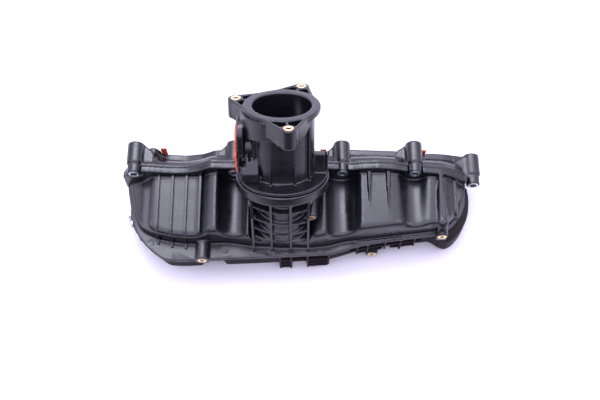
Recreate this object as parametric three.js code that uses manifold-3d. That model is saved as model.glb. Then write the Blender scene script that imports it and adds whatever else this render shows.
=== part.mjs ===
// Plastic intake manifold of a four-cylinder diesel engine, with swirl flaps.
// Millimetres. +Z up, the manifold lies on its plenum, +Y points at the cylinder head,
// the head face is a plane of constant Y and the inlet neck leans back over it.
import * as THREE from 'three';
import { mergeVertices } from 'three/addons/utils/BufferGeometryUtils.js';
import Module from 'manifold-3d';

const wasm = await Module();
wasm.setup();

// ---------------------------------------------------------------- driving dimensions
const CYLINDER_PITCH = 88;
// every place along the row of cylinders follows their pitch
const SPREAD = CYLINDER_PITCH / 88;
const WALL = 3;
const GAP = 0.3;

// weld planes
const WELD_Z = 35;
const WELD_LIP = 4;
const SPLIT_Y = 18.4;
const RIM_DEPTH = 3.8;
const LIP_WIDTH = 4;

// head face and ports
const HEAD_Y = 47;
const HEAD_PLATE = 7;
const HEAD_FOOT_Z = 3;
const PORT_Z = 27;
const PORT_WIDTH = 20;
const PORT_OFFSET = PORT_WIDTH / 2 + 3;
const PORT_HEIGHT = 22;
const FUNNEL_WIDTH = 2 * PORT_OFFSET + PORT_WIDTH + 2;
const FUNNEL_DEPTH = 10;

// ends of the body
const LEFT_END = -172 * SPREAD;
const RIGHT_END = 168 * SPREAD;
const PLENUM_LEFT = LEFT_END + 22;
const EAR_LEFT = -183 * SPREAD;
const REACH = 190 * SPREAD;

// bolt bosses
const SLEEVE_R = 5.5;
const BOSS_R = SLEEVE_R + 1.9;
const SLEEVE_BORE_R = 3.5;
const BOSS_FRONT_Y = 13.6;
const SOCKET_R = BOSS_R + 1.6;

// inlet neck
const NECK_X = -17 * SPREAD;
const NECK_Y = 4;
const NECK_Z = 90;
const NECK_TILT = 36;
const NECK_LENGTH = 73;
const NECK_BORE_R = 28;
const NECK_WALL = 3;
const INLET_RING_R = 36.5;
const INLET_RING_DEPTH = 9;
const LUG_DEPTH = 19;
const LUG_R = 7.5;
const BASE_FLANGE_R = 47;
const BASE_FLANGE_UP = 4.8;
const BASE_FLANGE_DOWN = 6.5;

// swirl flaps
const SHAFT_Y = 36;
const SHAFT_R = 3;
const CRANK_R = 8.5;
const ACTUATOR_Y = -8;
const ACTUATOR_Z = 15;

// derived
const UPPER_Z = WELD_Z + GAP;
const PLATE_TOP = UPPER_Z + WELD_LIP - GAP;
const FLANGE_Y = SPLIT_Y + GAP;
const RIM_FRONT = SPLIT_Y - RIM_DEPTH;
const RIM_BACK = FLANGE_Y + RIM_DEPTH;
const PLATE_FRONT = HEAD_Y - HEAD_PLATE;
const CYLINDERS = [-1.5, -0.5, 0.5, 1.5].map((n) => n * CYLINDER_PITCH);
const LOWER_BOLTS = [-1, 0, 1].map((n) => n * CYLINDER_PITCH);
const LOWER_BOLT_Z = HEAD_FOOT_Z + BOSS_R - 0.9;

// upper bolts: x, z of the axis and the radius of the tool valley in front
const UPPER_BOLTS = [
  { x: -166.5 * SPREAD, z: 68, valley: 0 },
  { x: -66 * SPREAD, z: 70, valley: 15 },
  { x: 42.4 * SPREAD, z: 70, valley: 16 },
  { x: 115.2 * SPREAD, z: 69, valley: 14 },
  { x: 178 * SPREAD, z: 41.3, valley: 0 },
];

// ---------------------------------------------------------------- profiles over x
function spreadOut(profile) {
  return profile.map(([x, value]) => [x * SPREAD, value]);
}

const OUTLINE = spreadOut([
  [-183, SPLIT_Y], [-181, 5], [-176, -17], [-172, -29], [-165, -40], [-151, -52], [-135, -63],
  [-120, -66], [-100, -66.8], [-60, -65.7], [-20, -63.6], [30, -61], [38, -56], [46, -52],
  [65, -49.6], [101, -45.3], [142, -40], [156, -33], [165, -19], [170, -4], [171, SPLIT_Y],
]);
const FRONT_WALL = spreadOut([
  [-172, -8], [-168, -20], [-160, -28], [-142, -34], [-121, -40], [-97, -44], [-89, -47.5],
  [-68, -49], [-50, -52], [8, -54], [28, -52], [45, -47], [65, -45], [101, -41], [142, -36],
  [156, -28], [163, -16], [168, -3],
]);
const CROWN = spreadOut([
  [-172, 45], [-166, 52], [-158, 58], [-146, 60], [-104, 61], [-97, 64], [-90, 71], [-80, 73],
  [-52, 73], [-45, 56], [5, 56], [13, 70], [26, 73], [58, 71], [92, 71], [100, 68], [122, 64],
  [146, 61], [156, 53], [164, 45], [168, 42],
]);
const RIM = spreadOut([
  [-183, 60], [-176, 66], [-160, 70], [-141, 65], [-126, 62.5], [-112, 63.5], [-101, 68],
  [-90, 77], [-74, 76], [28, 76], [50, 72], [62, 75], [78, 76], [96, 73.5], [108, 70],
  [126, 67], [145, 64], [158, 57], [168, 50],
]);
const HEAD_EDGE = spreadOut([
  [-172, 42], [-160, 52], [-150, 58], [-141, 58], [-135, 48], [-118, 46], [-100, 50],
  [-88, 56], [-60, 58], [8, 58], [14, 54], [30, 54], [38, 58], [60, 57], [100, 54],
  [120, 50], [150, 47], [160, 44], [168, 38],
]);

/** Straight line between the points of a profile. */
function along(profile, x) {
  if (x <= profile[0][0]) return profile[0][1];
  for (let i = 1; i < profile.length; i += 1) {
    const [x1, v1] = profile[i];
    if (x <= x1) {
      const [x0, v0] = profile[i - 1];
      return v0 + ((v1 - v0) * (x - x0)) / (x1 - x0);
    }
  }
  return profile[profile.length - 1][1];
}

// ---------------------------------------------------------------- solids
function solid(geometry) {
  const bare = new THREE.BufferGeometry();
  bare.setAttribute('position', geometry.getAttribute('position').clone());
  if (geometry.index) bare.setIndex(geometry.index.clone());
  const merged = mergeVertices(bare, 1e-4);
  return new wasm.Manifold(new wasm.Mesh({
    numProp: 3,
    vertProperties: new Float32Array(merged.getAttribute('position').array),
    triVerts: new Uint32Array(merged.index.array),
  }));
}

function union(list) {
  return list.reduce((sum, item) => sum.add(item));
}

function cut(body, list) {
  return list.reduce((rest, item) => rest.subtract(item), body);
}

function extruded(points, depth) {
  const shape = new THREE.Shape(points.map((p) => new THREE.Vector2(p[0], p[1])));
  return new THREE.ExtrudeGeometry(shape, { depth, bevelEnabled: false, steps: 1 });
}

/** Prism over an outline in x, y. */
function prismZ(points, z0, z1) {
  const geometry = extruded(points, z1 - z0);
  geometry.translate(0, 0, z0);
  return solid(geometry);
}

/** Prism over an outline in x, z. */
function prismY(points, y0, y1) {
  const geometry = extruded(points, y1 - y0);
  geometry.translate(0, 0, -y1);
  geometry.rotateX(Math.PI / 2);
  return solid(geometry);
}

/** Prism over an outline in y, z. */
function prismX(points, x0, x1) {
  const geometry = extruded(points, x1 - x0);
  geometry.translate(0, 0, x0);
  geometry.rotateX(Math.PI / 2);
  geometry.rotateZ(Math.PI / 2);
  return solid(geometry);
}

function block(x0, x1, y0, y1, z0, z1) {
  const geometry = new THREE.BoxGeometry(x1 - x0, y1 - y0, z1 - z0);
  geometry.translate((x0 + x1) / 2, (y0 + y1) / 2, (z0 + z1) / 2);
  return solid(geometry);
}

function rod(r, length, segments) {
  return new THREE.CylinderGeometry(r, r, length, segments);
}

function rodY(r, x, z, y0, y1, segments = 24) {
  const geometry = rod(r, y1 - y0, segments);
  geometry.translate(x, (y0 + y1) / 2, z);
  return solid(geometry);
}

function rodX(r, y, z, x0, x1, segments = 24) {
  const geometry = rod(r, x1 - x0, segments);
  geometry.rotateZ(Math.PI / 2);
  geometry.translate((x0 + x1) / 2, y, z);
  return solid(geometry);
}

function rodZ(r, x, y, z0, z1, segments = 24) {
  const geometry = rod(r, z1 - z0, segments);
  geometry.rotateX(Math.PI / 2);
  geometry.translate(x, y, (z0 + z1) / 2);
  return solid(geometry);
}

function roundedBox(cx, cy, width, height, r, steps = 3) {
  const shape = new THREE.Shape();
  const x = cx - width / 2;
  const y = cy - height / 2;
  shape.moveTo(x + r, y);
  shape.lineTo(x + width - r, y);
  shape.absarc(x + width - r, y + r, r, -Math.PI / 2, 0);
  shape.absarc(x + width - r, y + height - r, r, 0, Math.PI / 2);
  shape.absarc(x + r, y + height - r, r, Math.PI / 2, Math.PI);
  shape.absarc(x + r, y + r, r, Math.PI, 1.5 * Math.PI);
  return shape.getPoints(steps).map((p) => [p.x, p.y]).filter((p, i, all) => {
    const q = all[(i + 1) % all.length];
    return Math.hypot(p[0] - q[0], p[1] - q[1]) > 1e-3;
  });
}

/** Slab between two height functions, over stations in x and shares of the way to the back. */
function slab(xs, shares, place, low, high) {
  const geometry = new THREE.BoxGeometry(1, 1, 1, xs.length - 1, shares.length - 1, 1);
  const position = geometry.getAttribute('position');
  for (let n = 0; n < position.count; n += 1) {
    const x = xs[Math.round((position.getX(n) + 0.5) * (xs.length - 1))];
    const y = place(x, shares[Math.round((position.getY(n) + 0.5) * (shares.length - 1))]);
    const z = position.getZ(n) > 0 ? high(x, y) : low(x, y);
    position.setXYZ(n, x, y, z);
  }
  return solid(geometry);
}

/** Tube-like loft through elliptical sections that lean back by a tilt in degrees. */
function loft(sections, segments) {
  const geometry = new THREE.CylinderGeometry(1, 1, 1, segments, sections.length - 1);
  const position = geometry.getAttribute('position');
  for (let n = 0; n < position.count; n += 1) {
    const k = Math.round((0.5 - position.getY(n)) * (sections.length - 1));
    const section = sections[k];
    const tilt = THREE.MathUtils.degToRad(section.tilt);
    const across = position.getX(n) * section.rx;
    const deep = -position.getZ(n) * section.ry;
    position.setXYZ(
      n,
      section.x + across,
      section.y + deep * Math.cos(tilt),
      section.z - deep * Math.sin(tilt),
    );
  }
  return solid(geometry);
}

// ---------------------------------------------------------------- nodes
const group = new THREE.Group();
group.name = 'intake_manifold';

const PLASTIC = { color: 0x1b1b20, roughness: 0.5, metalness: 0 };
const PLASTIC_DARK = { color: 0x131316, roughness: 0.62, metalness: 0 };
const SILICONE = { color: 0xc8431c, roughness: 0.6, metalness: 0 };
const STEEL = { color: 0xa9adb2, roughness: 0.35, metalness: 1 };
const BRASS = { color: 0xb8924a, roughness: 0.35, metalness: 1 };

function addNode(name, body, look) {
  const mesh = body.getMesh();
  const geometry = new THREE.BufferGeometry();
  geometry.setAttribute('position', new THREE.BufferAttribute(mesh.vertProperties, 3));
  geometry.setIndex(new THREE.BufferAttribute(mesh.triVerts, 1));
  geometry.computeVertexNormals();
  const node = new THREE.Mesh(geometry, new THREE.MeshStandardMaterial(look));
  node.name = name;
  group.add(node);
}

/** Turns a body from the upright frame of the neck to its place on the manifold. */
function onNeck(body) {
  return body.rotate([-NECK_TILT, 0, 0]).translate([NECK_X, NECK_Y, NECK_Z]);
}

// ---------------------------------------------------------------- upper body surface
const CROWN_DROP = 5;
const FRONT_ROUND = 8;

function crownHeight(x, y) {
  const front = along(FRONT_WALL, x);
  let height = along(CROWN, x) - (CROWN_DROP * (SPLIT_Y - y)) / (SPLIT_Y - front);
  UPPER_BOLTS.forEach((bolt) => {
    const dx = Math.abs(x - bolt.x);
    if (dx < bolt.valley) {
      height = Math.min(height, bolt.z - Math.sqrt(bolt.valley ** 2 - dx ** 2));
    }
  });
  const inside = Math.max(0, y - front);
  if (inside < FRONT_ROUND) {
    height -= FRONT_ROUND - Math.sqrt(FRONT_ROUND ** 2 - (FRONT_ROUND - inside) ** 2);
  }
  return Math.max(height, PLATE_TOP + 0.5);
}

function stations(start, end, step, extra) {
  const count = Math.round((end - start) / step);
  const all = [...extra];
  for (let i = 0; i <= count; i += 1) all.push(start + ((end - start) * i) / count);
  all.sort((a, b) => a - b);
  return all.filter((x, i) => i === 0 || x - all[i - 1] > 1.4 || x === end);
}

function valleyStations(reach) {
  const list = [];
  UPPER_BOLTS.filter((bolt) => bolt.valley > 0).forEach((bolt) => {
    [-1, -0.85, -0.55, 0, 0.55, 0.85, 1].forEach((share) => {
      list.push(bolt.x + share * (bolt.valley + reach));
    });
  });
  return list;
}

function upperBody() {
  const xs = stations(LEFT_END, RIGHT_END, 7, valleyStations(0).concat(CROWN.slice(5, 12).map((p) => p[0])));
  const shares = [0, 0.012, 0.04, 0.125, 0.4, 0.7, 1];
  const place = (x, share) => {
    const front = along(FRONT_WALL, x);
    return front + share * (SPLIT_Y - front);
  };
  return slab(xs, shares, place, () => UPPER_Z, crownHeight);
}

function upperCavity() {
  const xs = stations(LEFT_END + WALL + 1, RIGHT_END - WALL - 1, 11, valleyStations(WALL));
  const place = (x, share) => {
    const front = along(FRONT_WALL, x) + WALL + 0.5;
    return front + share * (SPLIT_Y + 1 - front);
  };
  const roof = (x, y) => {
    const near = [-WALL, -WALL / 2, 0, WALL / 2, WALL].map((dx) => crownHeight(x + dx, y));
    return Math.max(Math.min(...near) - WALL, PLATE_TOP - 1.5);
  };
  return slab(xs, [0, 0.1, 0.5, 1], place, () => WELD_Z - 1, roof);
}

function partitions() {
  return union(LOWER_BOLTS.map((x) => block(x - 1.5, x + 1.5, -5, SPLIT_Y + 2, WELD_Z - 2, 90)));
}

// ---------------------------------------------------------------- duct under the neck
function ductSections(shrink) {
  const tilt = THREE.MathUtils.degToRad(NECK_TILT);
  const start = shrink > 0 ? 1 : -0.5;
  const list = [
    { y: NECK_Y + start * Math.sin(tilt), z: NECK_Z + start * Math.cos(tilt), tilt: NECK_TILT, rx: 33, ry: 33 },
    { y: -9, z: 72, tilt: 27, rx: 32.5, ry: 31 },
    { y: -20, z: 55, tilt: 14, rx: 31, ry: 28 },
    { y: -25, z: PLATE_TOP - 1 - 2 * shrink, tilt: 0, rx: 29, ry: 26 },
  ];
  return list.map((item) => ({ ...item, x: NECK_X, rx: item.rx - shrink, ry: item.ry - shrink }));
}

const DUCT_RIBS = [-29, -11, 8, 25].map((x) => NECK_X + x);
const RIB = 2.2;

function ductRibs() {
  const tilt = THREE.MathUtils.degToRad(NECK_TILT);
  const ribs = DUCT_RIBS.map((x) => {
    const chord = Math.sqrt((BASE_FLANGE_R - 1.5) ** 2 - (x - NECK_X) ** 2);
    const drop = BASE_FLANGE_DOWN - 1;
    const topY = NECK_Y - drop * Math.sin(tilt) - chord * Math.cos(tilt);
    const topZ = NECK_Z - drop * Math.cos(tilt) + chord * Math.sin(tilt);
    const outline = [
      [topY, topZ], [-43, 88], [-49, 68], [-52.5, 52], [-54, PLATE_TOP - 1],
      [-20, PLATE_TOP - 1], [-5, 80],
    ];
    return prismX(outline, x - RIB / 2, x + RIB / 2);
  });
  const shelves = [[-40.5, 93], [-45.5, 77], [-49, 63]].map(([y, z]) => (
    block(DUCT_RIBS[0], DUCT_RIBS[3], y, -18, z - 1, z + 1)
  ));
  return union(ribs.concat(shelves));
}

// ---------------------------------------------------------------- brass insert bosses
const BODY_INSERTS = [
  { name: 'body_insert_1', x: -97 * SPREAD, z: 42.5, y: -69, back: -42, r: 7, low: false },
  { name: 'body_insert_2', x: NECK_X + 27.5, z: 77, y: -38, back: -8, r: 6.5, low: false },
  { name: 'body_insert_3', x: 74 * SPREAD, z: 9, y: -52, back: -38, r: 6.5, low: true },
  { name: 'body_insert_4', x: 142 * SPREAD, z: 45, y: -45, back: -10, r: 5.8, low: false },
];
const INSERT_R = 4.6;
const INSERT_BORE_R = 2.2;
const INSERT_LENGTH = 11;

function insertBoss(item) {
  const boss = rodY(item.r, item.x, item.z, item.y, item.back, 20);
  if (item.low || item.z > 60) return boss;
  const keep = block(item.x - 12, item.x + 12, item.y - 1, item.back + 1, UPPER_Z, 90);
  return boss.add(block(
    item.x - item.r, item.x + item.r, item.y, item.back, UPPER_Z, item.z,
  )).intersect(keep);
}

function insertHole(item) {
  return rodY(INSERT_R + GAP, item.x, item.z, item.y - 1, item.y + INSERT_LENGTH + GAP, 20);
}

// ---------------------------------------------------------------- shells
function rimPoints(left, right, foot, inset) {
  const points = [[left, foot]];
  const top = [];
  for (let x = left; x < right - 2; x += 7.5) top.push([x, along(RIM, x) - inset]);
  top.push([right, along(RIM, right) - inset]);
  return [[right, foot], ...top.reverse(), points[0]].filter((p, i, all) => i === 0 || p !== all[i - 1]);
}

function bossClearance() {
  return union(UPPER_BOLTS.map((bolt) => (
    rodY(BOSS_R + GAP, bolt.x, bolt.z, BOSS_FRONT_Y - 3, SPLIT_Y + 1)
      .add(rodY(SOCKET_R, bolt.x, bolt.z, -75, BOSS_FRONT_Y - 0.5))
  )));
}

const TOP_RIBS = [
  { x: -142 * SPREAD, from: -36, to: RIM_FRONT + 0.5, rise: 3 },
  { x: -128 * SPREAD, from: -39, to: RIM_FRONT + 0.5, rise: 3 },
  { x: -114 * SPREAD, from: -42, to: RIM_FRONT + 0.5, rise: 3 },
  { x: -100 * SPREAD, from: -44, to: RIM_FRONT + 0.5, rise: 3.4 },
  { x: 70 * SPREAD, from: -16, to: RIM_FRONT + 0.5, rise: 2.2 },
  { x: 90 * SPREAD, from: -20, to: RIM_FRONT + 0.5, rise: 2.2 },
  { x: 142 * SPREAD, from: -20, to: RIM_FRONT + 0.5, rise: 2.4 },
];

function topRibs() {
  return union(TOP_RIBS.map((rib) => {
    const back = crownHeight(rib.x, rib.to) + rib.rise;
    const front = crownHeight(rib.x, rib.from + 9) + rib.rise;
    const low = PLATE_TOP - 1;
    const nose = rib.rise > 2.9 ? rib.from - 7 : rib.from;
    const outline = rib.rise > 2.9
      ? [[nose, low], [nose, PLATE_TOP + 1.5], [rib.from - 2, PLATE_TOP + 3],
        [rib.from, front - 7], [rib.from + 6, front], [rib.to, back], [rib.to, low]]
      : [[nose, low], [nose, front - rib.rise - 1], [rib.to, back], [rib.to, low]];
    return prismX(outline, rib.x - 1, rib.x + 1);
  }));
}

function runnerShell() {
  const lip = prismZ(OUTLINE, UPPER_Z, PLATE_TOP);
  const rim = prismY(rimPoints(EAR_LEFT, RIGHT_END + 3, UPPER_Z, 0), RIM_FRONT, SPLIT_Y);
  const flange = onNeck(rodZ(BASE_FLANGE_R - 0.7, 0, 0, -BASE_FLANGE_DOWN, 0, 48));
  const outer = union([
    lip, rim, upperBody(), flange, loft(ductSections(0), 32), ductRibs(), topRibs(),
    ...BODY_INSERTS.filter((item) => !item.low).map(insertBoss),
    block(NECK_X + 25.5, NECK_X + 29.5, -34, -4, 50, 76),
  ]);
  const room = upperCavity().subtract(partitions());
  const trimmed = outer.intersect(block(-REACH, REACH, -75, SPLIT_Y, UPPER_Z, 130));
  return cut(trimmed, [
    room, loft(ductSections(WALL), 32), bossClearance(),
    ...BODY_INSERTS.filter((item) => !item.low).map(insertHole),
  ]);
}

const LOWER_VALLEY_R = SOCKET_R + 1.5;
const BOTTOM_ROUND = 9;

function bellyHeight(x, y) {
  const front = along(OUTLINE, x) + LIP_WIDTH;
  let height = 0;
  LOWER_BOLTS.forEach((bolt) => {
    const dx = Math.abs(x - bolt);
    if (dx < LOWER_VALLEY_R) {
      height = Math.max(height, LOWER_BOLT_Z + Math.sqrt(LOWER_VALLEY_R ** 2 - dx ** 2));
    }
  });
  const edge = Math.min(y - front, x - PLENUM_LEFT, RIGHT_END - 3 - x);
  const inside = Math.max(0, edge);
  if (inside < BOTTOM_ROUND) {
    const arc = BOTTOM_ROUND - Math.sqrt(BOTTOM_ROUND ** 2 - (BOTTOM_ROUND - inside) ** 2);
    height = Math.max(height, arc);
  }
  return height;
}

function lowerStations(inset, step) {
  const extra = [];
  LOWER_BOLTS.forEach((x) => {
    [-1, -0.8, -0.4, 0, 0.4, 0.8, 1].forEach((share) => extra.push(x + share * (LOWER_VALLEY_R + inset)));
  });
  const start = PLENUM_LEFT + inset;
  const end = RIGHT_END - 3 - inset;
  return stations(start, end, step, extra.concat([start + 3, end - 3, 30 * SPREAD, 38 * SPREAD, 46 * SPREAD]));
}

function plenumShell() {
  const place = (inset, back) => (x, share) => {
    const front = along(OUTLINE, x) + LIP_WIDTH + inset;
    return front + share * (back - front);
  };
  const outer = slab(
    lowerStations(0, 14), [0, 0.03, 0.1, 0.45, 1], place(0, SPLIT_Y), bellyHeight, () => WELD_Z - 1,
  );
  const floor = (x, y) => {
    const near = [-WALL, 0, WALL].map((dx) => bellyHeight(x + dx, y));
    return Math.min(Math.max(...near) + WALL, WELD_Z - WELD_LIP - 1);
  };
  const room = slab(
    lowerStations(WALL, 16), [0, 0.12, 0.5, 1], place(WALL, SPLIT_Y + 2), floor, () => WELD_Z + 1,
  );
  const lip = prismZ(OUTLINE, WELD_Z - WELD_LIP, WELD_Z);
  const boss = BODY_INSERTS.filter((item) => item.low);
  const whole = union([lip, outer, frontGrid(), ...boss.map(insertBoss), ...actuatorPads()]);
  const lower = bossClearance();
  return cut(whole.intersect(block(-REACH, REACH, -75, SPLIT_Y, 0, WELD_Z)), [
    room, lower, ...boss.map(insertHole), ...actuatorScrewHoles(), ...lowerSocketRoom(),
  ]);
}

/** Room for a socket on each lower bolt. */
function lowerSocketRoom() {
  return LOWER_BOLTS.map((x) => rodY(SOCKET_R, x, LOWER_BOLT_Z, -75, SPLIT_Y + 1));
}

const RIGHT_GRID = [58, 74, 102, 118].map((x) => x * SPREAD);
const CENTRE_GRID = [-20, 15, 29].map((x) => x * SPREAD);
const GRID_ROWS = [6, 14, 22];

function frontGrid() {
  const band = OUTLINE.map(([x, y]) => [x, y > 10 ? y : y + 0.8]);
  const columns = [...RIGHT_GRID, ...CENTRE_GRID].map((x) => block(x - 1, x + 1, -72, -38, 3, WELD_Z - 2));
  const rows = [];
  GRID_ROWS.forEach((z) => {
    rows.push(block(RIGHT_GRID[0], RIGHT_GRID[3], -72, -38, z - 0.9, z + 0.9));
    rows.push(block(CENTRE_GRID[0], CENTRE_GRID[2], -72, -52, z - 0.9, z + 0.9));
  });
  return union(columns.concat(rows)).intersect(prismZ(band, 0, WELD_Z));
}

// ---------------------------------------------------------------- head flange shell
function headFlangeShell() {
  const front = prismY(rimPoints(LEFT_END, RIGHT_END, HEAD_FOOT_Z, 0), FLANGE_Y, RIM_BACK);
  const ear = prismY([[EAR_LEFT, 40], [LEFT_END + 1, 40], [LEFT_END + 1, 66], [EAR_LEFT, 60]], FLANGE_Y, RIM_BACK);
  const xs = stations(LEFT_END + 2, RIGHT_END - 2, 12, []);
  const place = (x, share) => RIM_BACK - 0.5 + share * (HEAD_Y - 3 - RIM_BACK);
  const slope = (x, y) => {
    const share = Math.min(1, (y - RIM_BACK) / (PLATE_FRONT - RIM_BACK));
    return (1 - share ** 2) * (along(RIM, x) - 4) + share ** 2 * (along(HEAD_EDGE, x) - 3);
  };
  const body = slab(xs, [0, 0.33, 0.66, 1], place, () => HEAD_FOOT_Z + 1, slope);
  const edge = [];
  for (let x = LEFT_END; x <= RIGHT_END; x += 8.5) edge.push([x, along(HEAD_EDGE, x)]);
  const plate = prismY([
    [RIGHT_END, HEAD_FOOT_Z], ...edge.reverse(), [LEFT_END, HEAD_FOOT_Z],
  ], PLATE_FRONT, HEAD_Y);
  const bosses = UPPER_BOLTS.map((bolt) => rodY(BOSS_R, bolt.x, bolt.z, BOSS_FRONT_Y, HEAD_Y, 24));
  const feet = LOWER_BOLTS.map((x) => rodY(BOSS_R, x, LOWER_BOLT_Z, FLANGE_Y + 0.3, HEAD_Y, 24));
  const whole = union([front, ear, body, plate, ...bosses, ...feet, ...gussets()]);
  return cut(whole, [
    ...ports(), ...funnels(), ...lightening(), ...gasketSeats(), ...sleeveHoles(), shaftBore(),
  ]);
}

function gussets() {
  const arms = [
    [[-168, 66], [-150, 58], [-150, 66], [-166, 73]],
    [[-88, 70], [-66, 64], [-66, 74], [-88, 77]],
    [[28, 66], [42, 64], [58, 64], [58, 71], [42, 75], [28, 75]],
    [[100, 60], [115, 62], [130, 60], [130, 67], [115, 74], [100, 72]],
    [[158, 30], [178, 35], [179, 47], [160, 55]],
  ];
  const foot = spreadOut([[160, 25], [176, 34], [178, 40], [160, 44]]);
  return arms.map((outline) => prismY(spreadOut(outline), FLANGE_Y + 4, HEAD_Y - 2))
    .concat([prismY(foot, FLANGE_Y, HEAD_Y)]);
}

function ports() {
  const list = [];
  CYLINDERS.forEach((x) => [-PORT_OFFSET, PORT_OFFSET].forEach((dx) => {
    list.push(prismY(
      roundedBox(x + dx, PORT_Z, PORT_WIDTH, PORT_HEIGHT, 6),
      FLANGE_Y + FUNNEL_DEPTH - 1,
      HEAD_Y + 2,
    ));
  }));
  return list;
}

function funnels() {
  const low = PORT_Z - PORT_HEIGHT / 2 - 1;
  return CYLINDERS.map((x) => {
    const top = Math.min(along(RIM, x - 22), along(RIM, x + 22), along(RIM, x)) - 14;
    return prismY(
      roundedBox(x, (low + top) / 2, FUNNEL_WIDTH, top - low, 9),
      FLANGE_Y - 1,
      FLANGE_Y + FUNNEL_DEPTH,
    );
  });
}

function lightening() {
  const list = [];
  LOWER_BOLTS.forEach((x) => [-1, 1].forEach((side) => {
    list.push(prismY(roundedBox(x + side * 7.2, 42.5, 11.5, 15, 2.5, 1), RIM_BACK + 3, HEAD_Y + 1));
  }));
  LOWER_BOLTS.forEach((x) => [-1, 1].forEach((side) => {
    list.push(prismY(roundedBox(x + side * 14, 14, 8, 12, 2.5, 1), RIM_BACK + 3, HEAD_Y + 1));
  }));
  return list;
}

const GASKET_WIDTH = FUNNEL_WIDTH + 6;
const GASKET_HEIGHT = 30;
const GASKET_SEAT = 1.6;
const GASKET_PROUD = 1;
const GASKET_TABS = [
  { dx: -8, top: 60.5 }, { dx: 8, top: 61 }, { dx: -20, top: 58 }, { dx: -5, top: 56 },
];

function tabOutline(index, grow) {
  const tab = GASKET_TABS[index];
  const x = CYLINDERS[index] + tab.dx;
  return [
    [x - 3 - grow, PORT_Z], [x + 3 + grow, PORT_Z],
    [x + 3 + grow, tab.top + grow], [x - 3 - grow, tab.top + grow],
  ];
}

function gasketSeats() {
  return CYLINDERS.flatMap((x, index) => [
    prismY(
      roundedBox(x, PORT_Z, GASKET_WIDTH + 2 * GAP, GASKET_HEIGHT + 2 * GAP, 9),
      HEAD_Y - GASKET_SEAT,
      HEAD_Y + 1,
    ),
    prismY(tabOutline(index, GAP), HEAD_Y - GASKET_SEAT, HEAD_Y + 1),
  ]);
}

function portGasket(index) {
  const x = CYLINDERS[index];
  const front = HEAD_Y - GASKET_SEAT + GAP;
  const back = HEAD_Y + GASKET_PROUD;
  const ring = prismY(roundedBox(x, PORT_Z, GASKET_WIDTH, GASKET_HEIGHT, 9), front, back);
  const tab = prismY(tabOutline(index, 0), front, front + 1.4);
  const holes = [-PORT_OFFSET, PORT_OFFSET].map((dx) => (
    prismY(roundedBox(x + dx, PORT_Z, PORT_WIDTH + 0.6, PORT_HEIGHT + 0.6, 6), front - 1, back + 1)
  ));
  return cut(ring.add(tab), holes);
}

function sleeveHoles() {
  return UPPER_BOLTS.map((bolt) => rodY(SLEEVE_R + GAP, bolt.x, bolt.z, BOSS_FRONT_Y - 1, HEAD_Y + 1, 20))
    .concat(LOWER_BOLTS.map((x) => rodY(SLEEVE_R + GAP, x, LOWER_BOLT_Z, FLANGE_Y - 1, HEAD_Y + 1, 20)));
}

function sleeve(x, z, front) {
  return rodY(SLEEVE_R, x, z, front, HEAD_Y - 0.1, 20)
    .subtract(rodY(SLEEVE_BORE_R, x, z, front - 1, HEAD_Y + 1, 20));
}

// ---------------------------------------------------------------- swirl flaps
const SHAFT_LEFT = LEFT_END - 6.6;
const SHAFT_RIGHT = RIGHT_END - 7;
const BUSH_R = SHAFT_R + 2.2;
const BUSH_LENGTH = 7;
const BUSHES = [LEFT_END + 0.5, RIGHT_END - 13.5];
const HUB_R = SHAFT_R + 1.8;
const FLAP_THICK = 2;

function shaftBore() {
  return union([
    rodX(SHAFT_R + GAP, SHAFT_Y, PORT_Z, LEFT_END - 2, SHAFT_RIGHT + GAP, 20),
    rodX(BUSH_R + GAP, SHAFT_Y, PORT_Z, LEFT_END - 2, LEFT_END + 0.5 + BUSH_LENGTH + GAP, 24),
    rodX(BUSH_R + GAP, SHAFT_Y, PORT_Z, BUSHES[1] - 0.5, BUSHES[1] + BUSH_LENGTH, 24),
  ]);
}

function bush(x) {
  return rodX(BUSH_R, SHAFT_Y, PORT_Z, x, x + BUSH_LENGTH, 24)
    .subtract(rodX(SHAFT_R + GAP, SHAFT_Y, PORT_Z, x - 1, x + BUSH_LENGTH + 1, 24));
}

function flap(x) {
  const port = x - PORT_OFFSET;
  const plate = prismY(
    roundedBox(port, PORT_Z, PORT_WIDTH - 1.4, PORT_HEIGHT - 1.4, 5.5),
    SHAFT_Y - FLAP_THICK / 2,
    SHAFT_Y + FLAP_THICK / 2,
  );
  const half = PORT_WIDTH / 2 - 0.7;
  return plate.add(rodX(HUB_R, SHAFT_Y, PORT_Z, port - half, port + half, 20))
    .subtract(rodX(SHAFT_R + GAP, SHAFT_Y, PORT_Z, port - 20, port + 20, 20));
}

// ---------------------------------------------------------------- crank linkage
const LEVER_LEFT = SHAFT_LEFT;
const LEVER_THICK = 2.8;
const LINK_LEFT = LEVER_LEFT + LEVER_THICK + 0.5;
const LINK_THICK = 2.4;
const PIN_R = 1.8;
const EYE_R = 3.6;
const LINK_Y = ACTUATOR_Y - SHAFT_Y;
const LINK_Z = ACTUATOR_Z - PORT_Z;
const LINK_LENGTH = Math.hypot(LINK_Y, LINK_Z);
const REST_ANGLE = Math.atan2(LINK_Z, LINK_Y) + THREE.MathUtils.degToRad(90 - 42.5);
const REST_Y = CRANK_R * Math.cos(REST_ANGLE);
const REST_Z = CRANK_R * Math.sin(REST_ANGLE);

/** Flat bar with round ends between two points in y, z. */
function bar(y0, z0, y1, z1, half, x0, x1) {
  const length = Math.hypot(y1 - y0, z1 - z0);
  const turn = Math.atan2(z1 - z0, y1 - y0);
  const outline = roundedBox(length / 2, 0, length + 2 * half, 2 * half, half * 0.98)
    .map(([a, b]) => [
      y0 + a * Math.cos(turn) - b * Math.sin(turn),
      z0 + a * Math.sin(turn) + b * Math.cos(turn),
    ]);
  return prismX(outline, x0, x1);
}

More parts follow.
